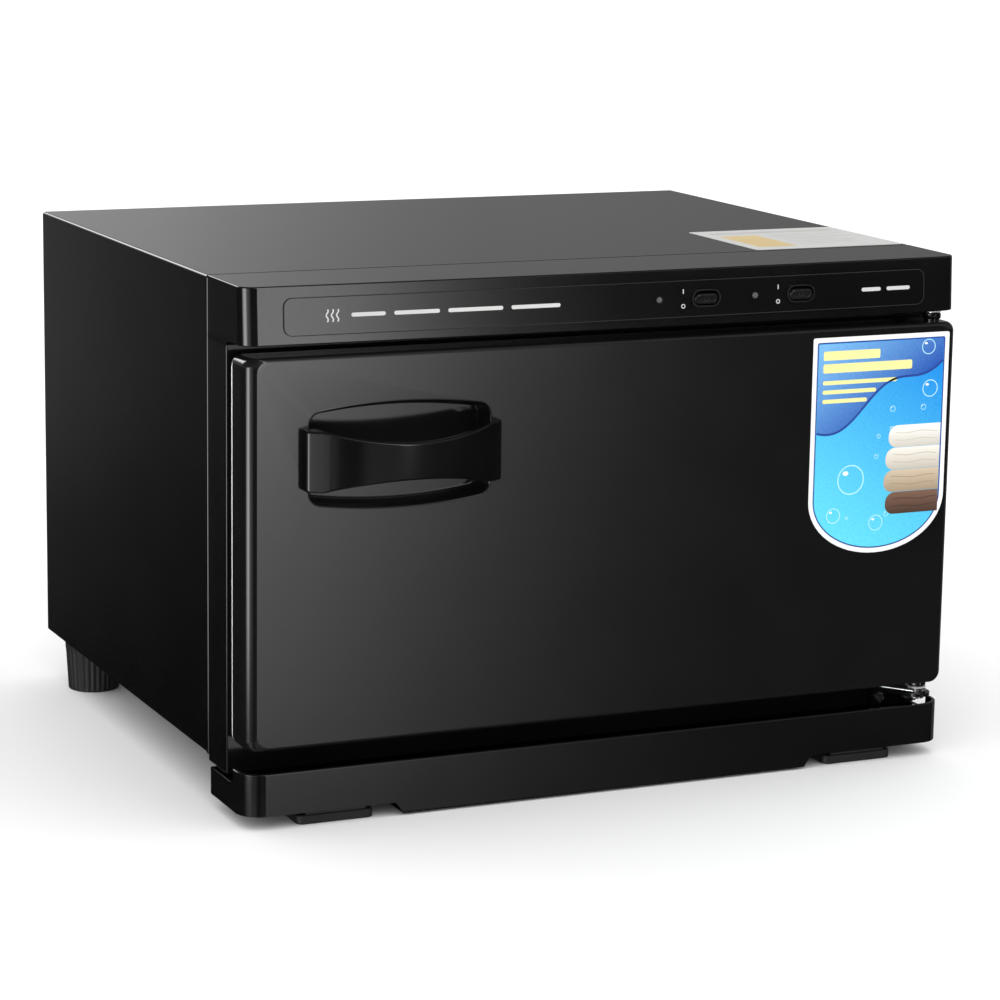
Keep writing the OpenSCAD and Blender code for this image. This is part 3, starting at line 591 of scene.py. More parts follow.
# The frame behind the door, with the chamber's opening and the magnets' holes
opening = rounded_box((chamber_low.x + 19 * MM, chamber_low.z + 18 * MM),
                      (chamber_high.x - 19 * MM, chamber_high.z - 18 * MM), 6 * MM)
magnet_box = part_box("catch_magnets")
magnet_x = (magnet_box[0].x + magnet_box[1].x) / 2
magnet_zs = [magnet_box[0].z + 5.9 * MM, magnet_box[1].z - 5.9 * MM]
magnet_holes = [hole(disc((magnet_x, z), 6 * MM)) for z in magnet_zs]
side_x = half_w - header_inset
strip_line = rounded_box((-side_x, frame_low.z), (side_x, header_z + 0.6 * MM), 1.2 * MM)
strips = pan("stop_frame", strip_line, [hole(opening), *magnet_holes], strip_y, seam_y - 0.1 * MM,
             2.9 * MM, 1.0 * MM, 0.3 * MM)
put(weighted(strips), "cabinet", gloss_black, "front_frame")

# Cove between the header's underside and the frame behind the door
cove_r = 3 * MM
cove_z = header_z + 0.5 * MM
cove = [Vector((seam_y, cove_z)), Vector((strip_y - cove_r, cove_z))]
for k in range(9):
    angle = math.pi / 2 * k / 8
    y = strip_y - cove_r + cove_r * math.sin(angle)
    cove.append(Vector((y, header_z - cove_r + cove_r * math.cos(angle))))
cove.append(Vector((seam_y, header_z - cove_r)))
cove_piece = plate("header_cove", hole(cove), [], -side_x, side_x, "x", 0.2 * MM)
put(weighted(cove_piece), "cabinet", gloss_black, "front_frame")

# ---------- control strip ----------

film_low = (overlay_low.x, overlay_low.z)
film_high = (overlay_high.x, overlay_high.z)
film_line = rounded_box(film_low, film_high, 5 * MM)
film = plate("overlay_film", film_line, [hole(loop) for loop in control_holes], overlay_low.y,
             overlay_high.y + 0.3 * MM, "y", 0.12 * MM)
cut_along_x(film, cut_every)
put(weighted(bow_header(film)), "cabinet", overlay_black, "control_overlay")


def printed(name, outline, holes, material):
    """A printed mark: a very thin plate on the control strip."""
    front = overlay_low.y - 0.03 * MM
    mark = plate(name, outline, holes, front, overlay_low.y + 0.05 * MM, "y", 0.01 * MM, steps=1)
    cut_along_x(mark, cut_every)
    put(bow_header(mark), "cabinet", material, "control_overlay")


def stroke(points, width):
    """A counter-clockwise band of one width along a line of points."""
    left, right = [], []
    for i, point in enumerate(points):
        along = (points[min(i + 1, len(points) - 1)] - points[max(i - 1, 0)]).normalized()
        across = Vector((-along.y, along.x)) * width / 2
        left.append(point + across)
        right.append(point - across)
    return right + list(reversed(left))


border = 0.45 * MM
printed("overlay_border", film_line, [hole(inset(film_line, border))], dim_print)
for k, switch_x in enumerate(switch_xs):
    on_z, off_z = switch_z + 4.2 * MM, switch_z - 4.2 * MM
    x = switch_x - 14.5 * MM
    printed(f"on_mark_{k}", pill((x, on_z), 0.3 * MM, 1.3 * MM, 0.1 * MM), [], print_grey)
    printed(f"off_mark_{k}", disc((x, off_z), 1.3 * MM, 28),
            [hole(disc((x, off_z), 0.8 * MM, 28))], print_grey)

# Plain bars and three heat waves, where a maker would print words
for k in range(3):
    wave = []
    for t in range(11):
        x = -176 * MM + k * 3 * MM + 0.6 * MM * math.sin(t * 0.9)
        wave.append(Vector((x, switch_z - 3.4 * MM + t * 0.68 * MM)))
    printed(f"heat_mark_{k}", stroke(wave, 0.8 * MM), [], print_grey)
bar_low, bar_high = switch_z - 1.1 * MM, switch_z + 1.1 * MM
left = -162 * MM
for k, reach in enumerate((20, 27, 33, 30)):
    bar = rounded_box((left, bar_low), (left + reach * MM, bar_high), 1.05 * MM, 5)
    printed(f"header_bar_{k}", bar, [], print_grey)
    left += (reach + 5) * MM
for k, reach in enumerate((13, 16)):
    left = 158 * MM + 17 * MM * k
    bar = rounded_box((left, bar_low), (left + reach * MM, bar_high), 1.05 * MM, 5)
    printed(f"model_bar_{k}", bar, [], print_grey)

# ---------- switches and lamps ----------

cap_path = [(3.0, 1.4), (0.2, 1.4), (0, 1.2), (0, -4.6), (0.25, -5.1), (0.8, -5.4), (1.6, -5.35),
            (2.6, -5.15)]


def rocker_cap(name, x, body, node):
    """Rocker cap with a dished face, leaning 7 degrees on its pivot, with a plain ring mark."""
    lean = Matrix.Rotation(math.radians(7), 3, "X")
    pivot = Vector((x, face_y + 4.5 * MM, switch_z))
    rings = []
    loop = rounded_box((-7.6 * MM, -3.2 * MM), (7.6 * MM, 3.2 * MM), 3.15 * MM, 10)
    for drawn_in, y in cap_path:
        cap_ring = inset(loop, min(drawn_in, 2.6) * MM)
        rings.append([pivot + lean @ Vector((p.x, y * MM, p.y)) for p in cap_ring])
    cap_piece = loft(name, rings, sharp=40)
    put(weighted(cap_piece), body, switch_black, node)
    ring = disc((0, 0.3 * MM), 1.5 * MM, 28)
    middle = [hole(inset(ring, 0.35 * MM))]
    mark = plate(f"{name}_mark", ring, middle, -5.24 * MM, -5.1 * MM, "y", 0.01 * MM, steps=1)
    for vertex in mark.data.vertices:
        vertex.co = pivot + lean @ vertex.co
    put(mark, body, dim_print, node)


for x, kind in zip(switch_xs, ("heat", "uv")):
    rocker_cap(f"{kind}_rocker_cap_piece", x, f"{kind}_rocker_cap", f"{kind}_rocker")

for k, x in enumerate(lamp_xs):
    dome = [(0.05, -0.9), (0.8, -0.82), (1.4, -0.5), (1.75, 0), (1.8, 2.6), (2.5, 2.7), (2.5, 6.4),
            (0.05, 6.4)]
    lens = turned(f"lamp_lens_{k}", dome, (x, face_y + 0.1 * MM, switch_z), "y", 32)
    put(lens, "cabinet", lens_grey, "indicator_lenses")

# ---------- top label ----------

label_low, label_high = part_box("shell_label")


def on_top(name, loop, material, level):
    """A layer of the label on the shell's top, as thick as its level in mm."""
    base = label_low.z + 0.05 * MM
    piece = plate(name, loop, [], base, base + level * MM, "z", 0.02 * MM, steps=1)
    put(piece, "cabinet", material, "shell_label")


label_line = rounded_box((label_low.x, label_low.y), (label_high.x, label_high.y), 2 * MM)
on_top("top_label", label_line, paper, 0.08)
margin = 8 * MM
left, top = label_low.x + margin, label_high.y
label_block = rounded_box((left, label_low.y + 12 * MM), (label_low.x + 34 * MM, top - 26 * MM), MM)
on_top("top_label_block", label_block, ochre, 0.095)
for k, reach in enumerate((52, 44, 50, 36, 48, 40, 28)):
    x, y = label_low.x + 40 * MM, top - 30 * MM - k * 7 * MM
    label_bar = rounded_box((x, y), (x + reach * MM, y + 2.2 * MM), 0.6 * MM, 3)
    on_top(f"top_label_bar_{k}", label_bar, pale_bar, 0.095)
label_head = rounded_box((left, top - 18 * MM), (label_high.x - margin, top - 10 * MM), MM, 3)
on_top("top_label_head", label_head, pale_bar, 0.095)

# ---------- door ----------

door_corner = 6 * MM
side_radius = 7.5 * MM
edge_radius = 2.2 * MM
door_top = door_high.z - 1.2 * MM
skin = 1.5 * MM
skin_back, rim_back = 22 * MM, 21.6 * MM
rim_r = 0.6 * MM


def door_ring(shrink, depth):
    """The door's outline at a depth behind its face, drawn in by shrink all round."""
    def drawn_in(radius):
        radius = max(radius - shrink, 0.3 * MM)
        d = max(depth - shrink, 0)
        return radius - math.sqrt(max(radius ** 2 - (radius - d) ** 2, 0)) if d < radius else 0.0
    dx, dz = shrink + drawn_in(side_radius), shrink + drawn_in(edge_radius)
    loop = rounded_box((-door_half + dx, door_low.z + dz), (door_half - dx, door_top - dz),
                       max(door_corner - shrink, MM), 10)
    return upright(loop, face_y + depth)


bm = bmesh.new()
steps = [side_radius * (1 - math.cos(math.pi / 2 * k / 12)) for k in range(13)]
steps += [edge_radius * (1 - math.cos(math.pi / 2 * k / 8)) for k in range(1, 8)]
steps = sorted(set(round(s, 7) for s in steps))
back = door_low.y + skin_back - face_y
outside = [door_ring(0, d) for d in steps] + [door_ring(0, back - 0.3 * MM), door_ring(0.3 * MM, back)]
inside = [door_ring(skin - 0.2 * MM, back), door_ring(skin, back - 0.3 * MM)]
inside += [door_ring(skin, d + skin) for d in reversed(steps)]
rows = [[bm.verts.new(p) for p in ring] for ring in outside + inside]
join_rings(bm, rows)
cup_hole = hole(barrel(0.1 * MM))
cup_rows = [add_ring(bm, inset(cup_hole, d), y, "y")
            for d, y in edge_profile(face_y, face_y + skin, 0.3 * MM, 0.1 * MM, 2)]
join_rings(bm, cup_rows)
cap(bm, [rows[0], cup_rows[0]])
cap(bm, [rows[-1], cup_rows[-1]])
door = add_object("door_skin", bm)
bores = [plate("bore", disc((hinge_x, hinge_y), 4.55 * MM, 32), [], z - 6 * MM, z + 6 * MM, "z")
         for z in (door_low.z, door_high.z)]
subtract(door, bores)
put(weighted(door), "door", face_black, "door_panel")

# Bright edge of the inner sheet, folded round the back of the skin
rim_loop = rounded_box((-door_half + 0.3 * MM, door_low.z + 0.3 * MM),
                       (door_half - 0.3 * MM, door_top - 0.55 * MM), door_corner, 10)
rim = tube("door_rim", upright(rim_loop, door_low.y + rim_back), rim_r, 12, True)
put(rim, "door", rim_steel, "door_liner")

# Dish behind the handle, with a thin rim standing a little proud of the door
cup_depth = 14 * MM
dish_path = [(-1.4, 15.5), (-0.05, 15.2), (-0.05, 0.1), (0.35, 0.05), (0.35, -0.1), (0.15, -0.2),
             (-0.1, -0.2), (-0.5, 0.0), (-0.9, 0.6), (-1.5, 10.5), (-2.0, 12.2), (-3.0, 13.4), (-4.4, 14.0)]
dish_rings = [upright(barrel(g * MM), face_y + y * MM) for g, y in dish_path]
dish = loft("handle_dish", dish_rings)
put(weighted(dish), "door", face_black, "handle_cup")

# Arched, waisted strap
strap_half = (strap_high.x - strap_low.x) / 2
strap_out, strap_foot, strap_t = face_y - strap_low.y, 7.5 * MM, 3.5 * MM
rise = strap_out - strap_foot
plan_r = (strap_half ** 2 + rise ** 2) / (2 * rise)
waist_half, dip, chord = 10.5 * MM, 6.5 * MM, strap_half - 8 * MM
waist_r = (chord ** 2 + dip ** 2) / (2 * dip)
end_block = 11 * MM
strap_lean = math.tan(math.radians(4.5))


def strap_ring(x, draw_in=0.0):
    """Section of the strap across X: crowned front, round edges; a block down to the door at each end."""
    front = face_y - strap_out + plan_r - math.sqrt(plan_r ** 2 - x ** 2)
    half = waist_half + waist_r - math.sqrt(waist_r ** 2 - min(abs(x), chord) ** 2)
    half -= draw_in
    front += draw_in
    solid = abs(x) > strap_half - end_block
    rear = face_y if solid else face_y - strap_out + plan_r - math.sqrt((plan_r - strap_t) ** 2 - x ** 2)
    edge_r = 1.3 * MM
    loop = fillet([(-half, front), (half, front), (half, rear), (-half, rear)],
                  [edge_r, edge_r, 0.3 * MM, 0.3 * MM], 6)
    crown = 0.35 * MM
    ring = []
    for p in loop:
        share = min(max((rear - p.y) / (rear - front), 0), 1)
        tilt = -strap_lean * p.x if not solid else 0.0
        ring.append(Vector((handle_x + x, p.y + share * (crown * (p.x / half) ** 2 + tilt), handle_z + p.x)))
    return ring


stations = [-strap_half + d * MM for d in (0, 0.15, 0.5, 1.0)]
draws = [1.0 * MM, 0.5 * MM, 0.15 * MM, 0.0]
span = strap_half - end_block
middle = [-span + 2 * span * k / 40 for k in range(41)]
strap_rings = [strap_ring(x, d) for x, d in zip(stations, draws)]
strap_rings += [strap_ring(-strap_half + (2 + 2 * k) * MM) for k in range(5)]
strap_rings.append(strap_ring(-span - 1e-5))
strap_rings += [strap_ring(x * 0.99999) for x in middle]
strap_rings.append(strap_ring(span + 1e-5))
strap_rings += [strap_ring(strap_half - (2 + 2 * k) * MM) for k in range(4, -1, -1)]
strap_rings += [strap_ring(-x, d) for x, d in zip(reversed(stations), reversed(draws))]
strap = loft("strap_arch", strap_rings, sharp=40)
put(weighted(strap), "door", strap_black, "handle_strap")
leg_x = cup_half - 5.2 * MM
leg_half, leg_tall = 3.3 * MM, 8 * MM
for k, side in enumerate((-1, 1)):
    x = handle_x + side * leg_x
    leg_plan = rounded_box((x - leg_half, face_y - MM), (x + leg_half, face_y + cup_depth), 0.3 * MM, 4)
    leg = plate(f"strap_leg_{k}", leg_plan, [], handle_z - leg_tall, handle_z + leg_tall, "z")
    put(weighted(leg), "door", strap_black, "handle_strap")

# Inner face of the door: a sheet with a raised middle
liner_low, liner_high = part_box("door_liner")
sheet_y = door_high.y - 1.2 * MM
raised_low = (chamber_low.x + 29 * MM, chamber_low.z + 28 * MM)
raised_high = (chamber_high.x - 29 * MM, chamber_high.z - 28 * MM)


def liner_ring(low, high, y, radius):
    return upright(rounded_box(low, high, radius, 8), y)


def raised_ring(grow, y):
    g = grow * MM
    low = (raised_low[0] - g, raised_low[1] - g)
    return liner_ring(low, (raised_high[0] + g, raised_high[1] + g), y, 8 * MM + g)


rim_low, rim_high = (liner_low.x, liner_low.z), (liner_high.x, liner_high.z)
liner_rings = [raised_ring(-3.0, liner_high.y - 1.2 * MM), raised_ring(-1.2, liner_high.y - 1.4 * MM),
               raised_ring(-1.2, sheet_y), liner_ring(rim_low, rim_high, sheet_y, 4 * MM),
               liner_ring(rim_low, rim_high, door_high.y, 4 * MM), raised_ring(0.8, door_high.y),
               raised_ring(0.2, door_high.y + 0.3 * MM), raised_ring(0, liner_high.y - 0.8 * MM),
               raised_ring(-0.4, liner_high.y - 0.2 * MM), raised_ring(-1.5, liner_high.y)]
inner_skin = loft("door_inner_sheet", liner_rings, sharp=45)
put(weighted(inner_skin), "door", aluminium, "door_liner")

# Sealing ring with a soft lip
seal_low, seal_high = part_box("door_gasket")
seal_path = [(0, 0.0), (0, 2.2), (0.6, 4.2), (1.6, 5.6), (3.0, 7.2), (4.2, 7.7), (5.2, 7.2), (5.8, 5.6),
             (5.2, 4.0), (6.4, 2.8), (7.6, 2.2), (8.0, 1.2), (8.0, 0.0)]
seal_rings = []
for drawn_in, y in seal_path:
    d = drawn_in * MM
    loop = rounded_box((seal_low.x + d, seal_low.z + d), (seal_high.x - d, seal_high.z - d), 11 * MM - d, 8)
    seal_rings.append(upright(loop, seal_low.y + y * MM * 0.97))
put(loft("door_seal", seal_rings, True, 50), "door", gasket_rubber, "door_gasket")

# ---------- door sticker: plain art of my own, with no lettering ----------

art_low, art_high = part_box("door_label")


def sticker_outline(grow=0.0, steps=32):
    """Square-topped panel with a half-ellipse at its bottom."""
    g = grow * MM
    left, right = art_low.x - g, art_high.x + g
    shoulder = art_high.z - 97 * MM
    mid, half_u, half_v = (left + right) / 2, (right - left) / 2, shoulder - art_low.z + g
    out = []
    for k in range(steps + 1):
        angle = math.pi + math.pi * k / steps
        out.append(Vector((mid + half_u * math.cos(angle), shoulder + half_v * math.sin(angle))))
    top = art_high.z + g
    return out + fillet([(right, top - 2 * MM), (right, top), (left, top), (left, top - 2 * MM)],
                        [0, 1.2 * MM, 1.2 * MM, 0], 5)


def sticker(name, loop, material, level, holes=()):
    """A layer of the sticker. Higher levels lie in front."""
    piece = plate(name, loop, list(holes), face_y - level * MM, face_y + 0.02 * MM, "y", 0.008 * MM, steps=1)
    put(piece, "door", material, "door_label")


def shaded(name, colour, other, direction, low, high, rough=0.28):
    """A print whose colour runs from one to the other between two places."""
    material, tree, shader = new_material(name)
    place = tree.nodes.new("ShaderNodeTexCoord")
    along = tree.nodes.new("ShaderNodeVectorMath")
    along.operation = "DOT_PRODUCT"
    along.inputs[1].default_value = direction
    tree.links.new(place.outputs["Object"], along.inputs[0])
    ramp = remap(tree, along.outputs["Value"], 0, 1, low, high)
    tree.links.new(blend_colours(tree, ramp, colour, other, 0.0, 1.0), shader.inputs["Base Color"])
    tree.links.new(remap(tree, noise(tree, 600), rough - 0.04, rough + 0.04), shader.inputs["Roughness"])
    bump(tree, shader, noise(tree, 500), 0.03, 0.1 * MM)
    return material


deep_blue = shaded("deep blue print", (0.20, 0.52, 0.88), (0.004, 0.07, 0.42), (0.6, 0, -0.8),
                   0.6 * art_low.x - 0.8 * art_high.z,
                   0.6 * (art_low.x + 50 * MM) - 0.8 * (art_high.z - 48 * MM))
sky_blue = shaded("sky blue print", (0.0, 0.26, 0.76), (0.12, 0.72, 0.90), (-0.5, 0, -0.87),
                  -0.5 * art_high.x - 0.87 * (art_high.z - 25 * MM),
                  -0.5 * art_low.x - 0.87 * (art_low.z + 10 * MM))
navy = surface("navy print", (0.006, 0.04, 0.26), (0.010, 0.05, 0.30), 0.3, 0.04, peel=0.03)
bubble_print = surface("bubble print", (0.42, 0.80, 0.95), (0.55, 0.88, 0.97), 0.3, 0.04, peel=0.03)
bar_print = surface("pale yellow print", (0.86, 0.80, 0.30), (0.90, 0.85, 0.36), 0.3, 0.04, peel=0.03)
art_w, art_h = (art_high.x - art_low.x) / MM, (art_high.z - art_low.z) / MM


def art(u, v):
    """A place on the sticker in millimetres from its lower left corner."""
    return Vector((art_low.x + u * MM, art_low.z + v * MM))


# Two colours of each towel, and the heights between which one runs into the other
towel_tones = (
    ((0.06, 0.025, 0.012), (0.20, 0.10, 0.06), 22, 36),
    ((0.36, 0.27, 0.17), (0.62, 0.50, 0.36), 36, 49),
    ((0.52, 0.48, 0.40), (0.84, 0.80, 0.72), 49, 62),
    ((0.58, 0.54, 0.46), (0.92, 0.91, 0.88), 62, 76),
)
towel_prints = [shaded(f"towel print {k}", a, b, (0, 0, 1), art(0, low).y, art(0, high).y, 0.6)
                for k, (a, b, low, high) in enumerate(towel_tones)]
crease_tones = ((0.05, 0.02, 0.01), (0.30, 0.22, 0.14), (0.46, 0.41, 0.33), (0.52, 0.46, 0.37))
crease_prints = [surface(f"towel crease {k}", c, tuple(1.15 * v for v in c), 0.6, 0.05)
                 for k, c in enumerate(crease_tones)]

sticker("sticker_base", sticker_outline(), sticker_white, 0.20)
sticker("sticker_edge", sticker_outline(-2.8), navy, 0.215)
sticker("sticker_field", sticker_outline(-3.6), sky_blue, 0.225)
swell = []
for k in range(41):
    t = k / 40
    swell.append(art(3.8 + t * (art_w - 7.6), 74 + 44 * t ** 1.15 - 5.5 * math.sin(2 * math.pi * 1.35 * t)))
upper = swell + [art(art_w - 3.8, art_h - 3.8), art(3.8, art_h - 3.8)]
sticker("sticker_upper", upper, deep_blue, 0.235)
sticker("sticker_wave", stroke(swell, 1.3 * MM), navy, 0.25)
bubbles = ((78, 122, 4.6), (80, 97, 5.2), (28, 45, 9.0), (17, 24, 4.6), (46, 18, 4.8), (55, 86, 1.8),
           (76, 86, 1.8), (55, 74, 1.6), (46, 70, 1.3), (45, 58, 1.4), (53, 23, 1.6), (26, 22, 1.0))
for k, (u, v, r) in enumerate(bubbles):
    spot = disc(art(u, v), r * MM)
    sticker(f"sticker_bubble_{k}", spot, bubble_print, 0.25, [hole(inset(spot, (0.25 + 0.05 * r) * MM))])
    glint = oval(art(u - 0.4 * r, v + 0.45 * r), 0.22 * r * MM, 0.15 * r * MM, 16)
    sticker(f"sticker_glint_{k}", glint, sticker_white, 0.262)
art_bars = ((38, 5.4, 117), (60, 5.4, 109.5), (50, 2.4, 102.5), (36, 2.4, 97), (30, 2.4, 91.5))
for k, (width, tall, v) in enumerate(art_bars):
    low = art(7, v)
    bar = rounded_box(low, low + Vector((width * MM, tall * MM)), MM, 4)
    sticker(f"sticker_bar_{k}", bar, bar_print, 0.25)
towel_radii = [5.5 * MM, 0.2 * MM, 0.2 * MM, 6.4 * MM]
for k, material in enumerate(towel_prints):
    low = art(50.5 + (1.5, 0, 0.8, 2.4)[k], 22.5 + 13.4 * k)
    high = Vector((art_high.x - 3.8 * MM, low.y + 13.2 * MM))
    towel = fillet([low, (high.x, low.y), high, (low.x, high.y)], towel_radii, 8)
    sticker(f"sticker_towel_{k}", towel, material, 0.265)
    for j, v in enumerate((4.4, 8.8)):
        crease = [Vector((low.x + (5 + 1.3 * t) * MM, low.y + (v + 0.5 * math.sin(t * 0.35 + k)) * MM))
                  for t in range(24)]
        crease = [p for p in crease if p.x < high.x - MM]
        sticker(f"sticker_crease_{k}{j}", stroke(crease, 0.4 * MM), crease_prints[k], 0.28)

# ---------- hinge ----------

pin_hole = 3.06
for name, collar, barrel_end in (("bush_top", 1, -1), ("bush_bottom", -1, 1)):
    edge_z = door_high.z if collar > 0 else door_low.z
    profile = [(pin_hole, 16 * barrel_end), (4.45, 16 * barrel_end), (4.45, 0), (5.1, 0.05 * collar),
               (5.4, 0.5 * collar), (5.4, 2.9 * collar), (4.9, 3.5 * collar), (pin_hole, 3.6 * collar)]
    bush = turned(name, profile, (hinge_x, hinge_y, edge_z))
    put(bush, "door", gloss_black, f"hinge_{name}")

washer_low, washer_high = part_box("hinge_washers")
for k, z in enumerate((washer_low.z, washer_high.z - MM)):
    profile = [(pin_hole, 0.1), (3.2, 0), (5.4, 0), (5.6, 0.25), (5.6, 0.75), (5.4, 1), (3.2, 1),
               (pin_hole, 0.9)]
    washer = turned(f"hinge_washer_{k}", profile, (hinge_x, hinge_y, z))
    put(washer, "cabinet", washer_steel, "hinge_washers")

spring_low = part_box("hinge_spring")[0]
wire = 0.8 * MM
coil_z = spring_low.z + wire
coil_r = 5.2 * MM
lean = math.radians(38)
path = []
for k in range(40):
    angle = math.radians(-90) + (math.radians(270) + lean) * k / 39
    path.append(Vector((hinge_x + coil_r * math.cos(angle), hinge_y + coil_r * math.sin(angle), coil_z)))
arm_from = path[-1]
arm_along = Vector((-math.sin(lean), math.cos(lean), 0))
arm_length = (strip_y - MM - arm_from.y) / math.cos(lean)
path += [arm_from + arm_along * arm_length * k / 6 for k in range(1, 6)]
path += [arm_from + arm_along * (arm_length - 0.6 * MM) + Vector((0, 0, 0.2 * MM)),
         arm_from + arm_along * (arm_length - 0.3 * MM) + Vector((-0.2 * MM, 0, 1.2 * MM)),
         arm_from + arm_along * (arm_length - 0.2 * MM) + Vector((-0.6 * MM, 0, 2.4 * MM))]
put(tube("spring_wire", path, wire), "cabinet", bright_steel, "hinge_spring")

# ---------- feet ----------

foot_low, foot_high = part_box("front_feet")
pad_x, pad_half = 168.5 * MM, 23 * MM
for k, side in enumerate((-1, 1)):
    x = side * pad_x
    low, high = (x - pad_half, foot_low.y), (x + pad_half, foot_high.y)
    pad = plate(f"front_pad_{k}", rounded_box(low, high, 4 * MM), [], 0, foot_high.z, "z", 0.6 * MM, 1.2 * MM)
    put(weighted(pad), "cabinet", rubber, "front_feet")

foot_low, foot_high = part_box("rear_feet")
rear_foot_y = (foot_low.y + foot_high.y) / 2
foot_profile = [(6, 0.3), (15.4, 0), (16.0, 0.2), (16.3, 0.9), (16.4, 3), (17.6, 24), (17.9, 27), (18, 28),
                (18, 30), (2.3, 30), (2.3, 24), (6, 24)]
for k, side in enumerate((-1, 1)):
    profile = [(r, h, 1 < h < 28 and r > 7) for r, h in foot_profile]
    centre = (side * (half_w - 18.5 * MM), rear_foot_y, 0)
    foot = turned(f"rear_foot_{k}", profile, centre, "z", 180, 30, 0.7 * MM)
    put(weighted(foot), "cabinet", rubber, "rear_feet")

# ---------- drip tray ----------

tray_low, tray_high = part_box("drip_tray")
tray_r, tray_wall = 14 * MM, 2 * MM
sump = 129 * MM
floor_z = 8.2 * MM
rim_z = 24 * MM
past = 3 * MM


def tray_plan(half, drawn_in, corner):
    return plan_outline(half, tray_low.y + drawn_in, tray_high.y - drawn_in, corner)


outside = plate("tray_moulding", tray_plan(half_w, 0, tray_r), [], tray_low.z, tray_high.z, "z", 1.2 * MM,
                0.7 * MM, 4)
cutters = []
for side in (-1, 1):
    shoulder = [(sump, tray_low.z - past), (sump, tray_low.z), (sump + 5 * MM, floor_z),
                (half_w + past, floor_z), (half_w + past, tray_low.z - past)]
    radii = [0, MM, 1.5 * MM, 0, 0]
    if side > 0:
        shoulder.reverse()
        radii.reverse()
    shape = fillet([(side * u, v) for u, v in shoulder], radii, 5)
    cutters.append(plate("shoulder", shape, [], tray_low.y - past, tray_high.y + past, "y", 0.05 * MM))
inner_plan = tray_plan(half_w - tray_wall, tray_wall, tray_r - tray_wall)
inner = plate("inside", inner_plan, [], floor_z + tray_wall, tray_high.z + past, "z", MM, 0.1 * MM)
well_plan = tray_plan(sump - tray_wall, tray_wall, 4 * MM)
well = plate("well", well_plan, [], tray_low.z + tray_wall, floor_z + 4 * MM, "z", MM, 0.1 * MM)
step_y = tray_low.y + 18 * MM
side_cut = fillet([(tray_high.y + past, rim_z), (tray_high.y + past, tray_high.z + past),
                   (step_y, tray_high.z + past), (step_y, rim_z)], [0, 0, 0, 5 * MM], 8)
cutters += [inner, well, plate("side_cut", side_cut, [], -half_w - past, half_w + past, "x", 0.05 * MM)]
subtract(outside, cutters)
tray_bevel = outside.modifiers.new("round edges", "BEVEL")
tray_bevel.width = 0.35 * MM
tray_bevel.segments = 2
tray_bevel.limit_method = "ANGLE"
tray_bevel.angle_limit = math.radians(40)
put(weighted(outside), "tray", gloss_black, "drip_tray")

# ---------- chamber and rack ----------

flange = 16 * MM
chamber_half = chamber_high.x - flange
chamber_floor, chamber_roof = chamber_low.z + flange, chamber_high.z - flange


def chamber_ring(grow, y):
    g = grow * MM
    low, high = (-chamber_half - g, chamber_floor - g), (chamber_half + g, chamber_roof + g)
    return upright(rounded_box(low, high, max(4.0 + grow, 0.5) * MM, 6), y)


front, deep = chamber_low.y, chamber_high.y
box_rings = [chamber_ring(0.5, deep), chamber_ring(1, deep - 0.6 * MM), chamber_ring(1, front + 1 * MM),
             chamber_ring(15.8, front + 1 * MM), chamber_ring(15.8, front), chamber_ring(0.8, front),
             chamber_ring(0.1, front + 0.5 * MM), chamber_ring(0, front + 1.5 * MM),
             chamber_ring(0, deep - 4 * MM), chamber_ring(-1.0, deep - 2 * MM),
             chamber_ring(-3.5, deep - 1 * MM)]
put(weighted(loft("chamber_box", box_rings)), "cabinet", aluminium, "chamber_liner")

rack_low, rack_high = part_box("wire_rack")
rail_in = 2.6 * MM
rail_x = rack_high.x - rail_in
ends = [rack_low.y + rail_in, rack_high.y - rail_in]
rack_z = rack_high.z - rail_in
turn = 9 * MM
loop = [Vector((p.x, p.y, rack_z)) for p in rounded_box((-rail_x, ends[0]), (rail_x, ends[1]), turn, 8)]
put(tube("rack_frame", loop, 2.0 * MM, 16, True), "rack", chrome, "wire_rack")
for k in range(17):
    x = -rail_x + 2 * rail_x * (k + 1) / 18
    points = [Vector((x, y, rack_z + MM)) for y in (ends[0] - MM, 0, ends[1] + MM)]
    put(tube(f"rack_bar_{k}", points, 1.4 * MM), "rack", chrome, "wire_rack")
for k, side in enumerate((-1, 1)):
    for j, y in enumerate((ends[0] + 30 * MM, ends[1] - 30 * MM)):
        points = [Vector((side * rail_x, y, z)) for z in (rack_low.z, rack_low.z + 4 * MM, rack_z)]
        put(tube(f"rack_leg_{k}{j}", points, 1.8 * MM), "rack", chrome, "wire_rack")

# ---------- finishes of the CAD nodes that stay ----------

dress(inner_paint, "base_panel", "foot_brackets")
dress(gloss_black, "hinge_bracket_bottom")
dress(switch_black, "heat_switch_body", "uv_switch_body")
dress(board_green, "indicator_board")
dress(foam, "chamber_insulation", "door_insulation")
dress(aluminium, "heater_plate")
dress(element_steel, "heating_element")
dress(ceramic, "thermostat")
dress(brass, "thermal_fuse")
dress(lamp_glass, "uv_lamp")
dress(holder_white, "uv_lamp_holders", "terminal_block")
dress(ballast_grey, "uv_ballast")
dress(bright_steel, "hinge_bracket_top", "hinge_pin_top", "hinge_pin_bottom", "bracket_screws", "foot_screws",
      "handle_screws", "liner_screws", "strike_plates", "rear_screws")
dress(ferrite, "catch_magnets")
dress(rubber, "rack_feet")
edge_widths = {
    0.2: ("heat_switch_body", "uv_switch_body", "rear_screws"),
    0.25: ("base_panel", "strike_plates"),
    0.3: ("hinge_bracket_top", "hinge_pin_top", "hinge_pin_bottom", "uv_lamp", "heater_plate",
          "terminal_block"),
    0.4: ("hinge_bracket_bottom", "catch_magnets", "bracket_screws", "foot_screws", "liner_screws",
          "handle_screws", "rack_feet", "uv_ballast"),
    0.5: ("foot_brackets",),
    0.6: ("uv_lamp_holders",),
}
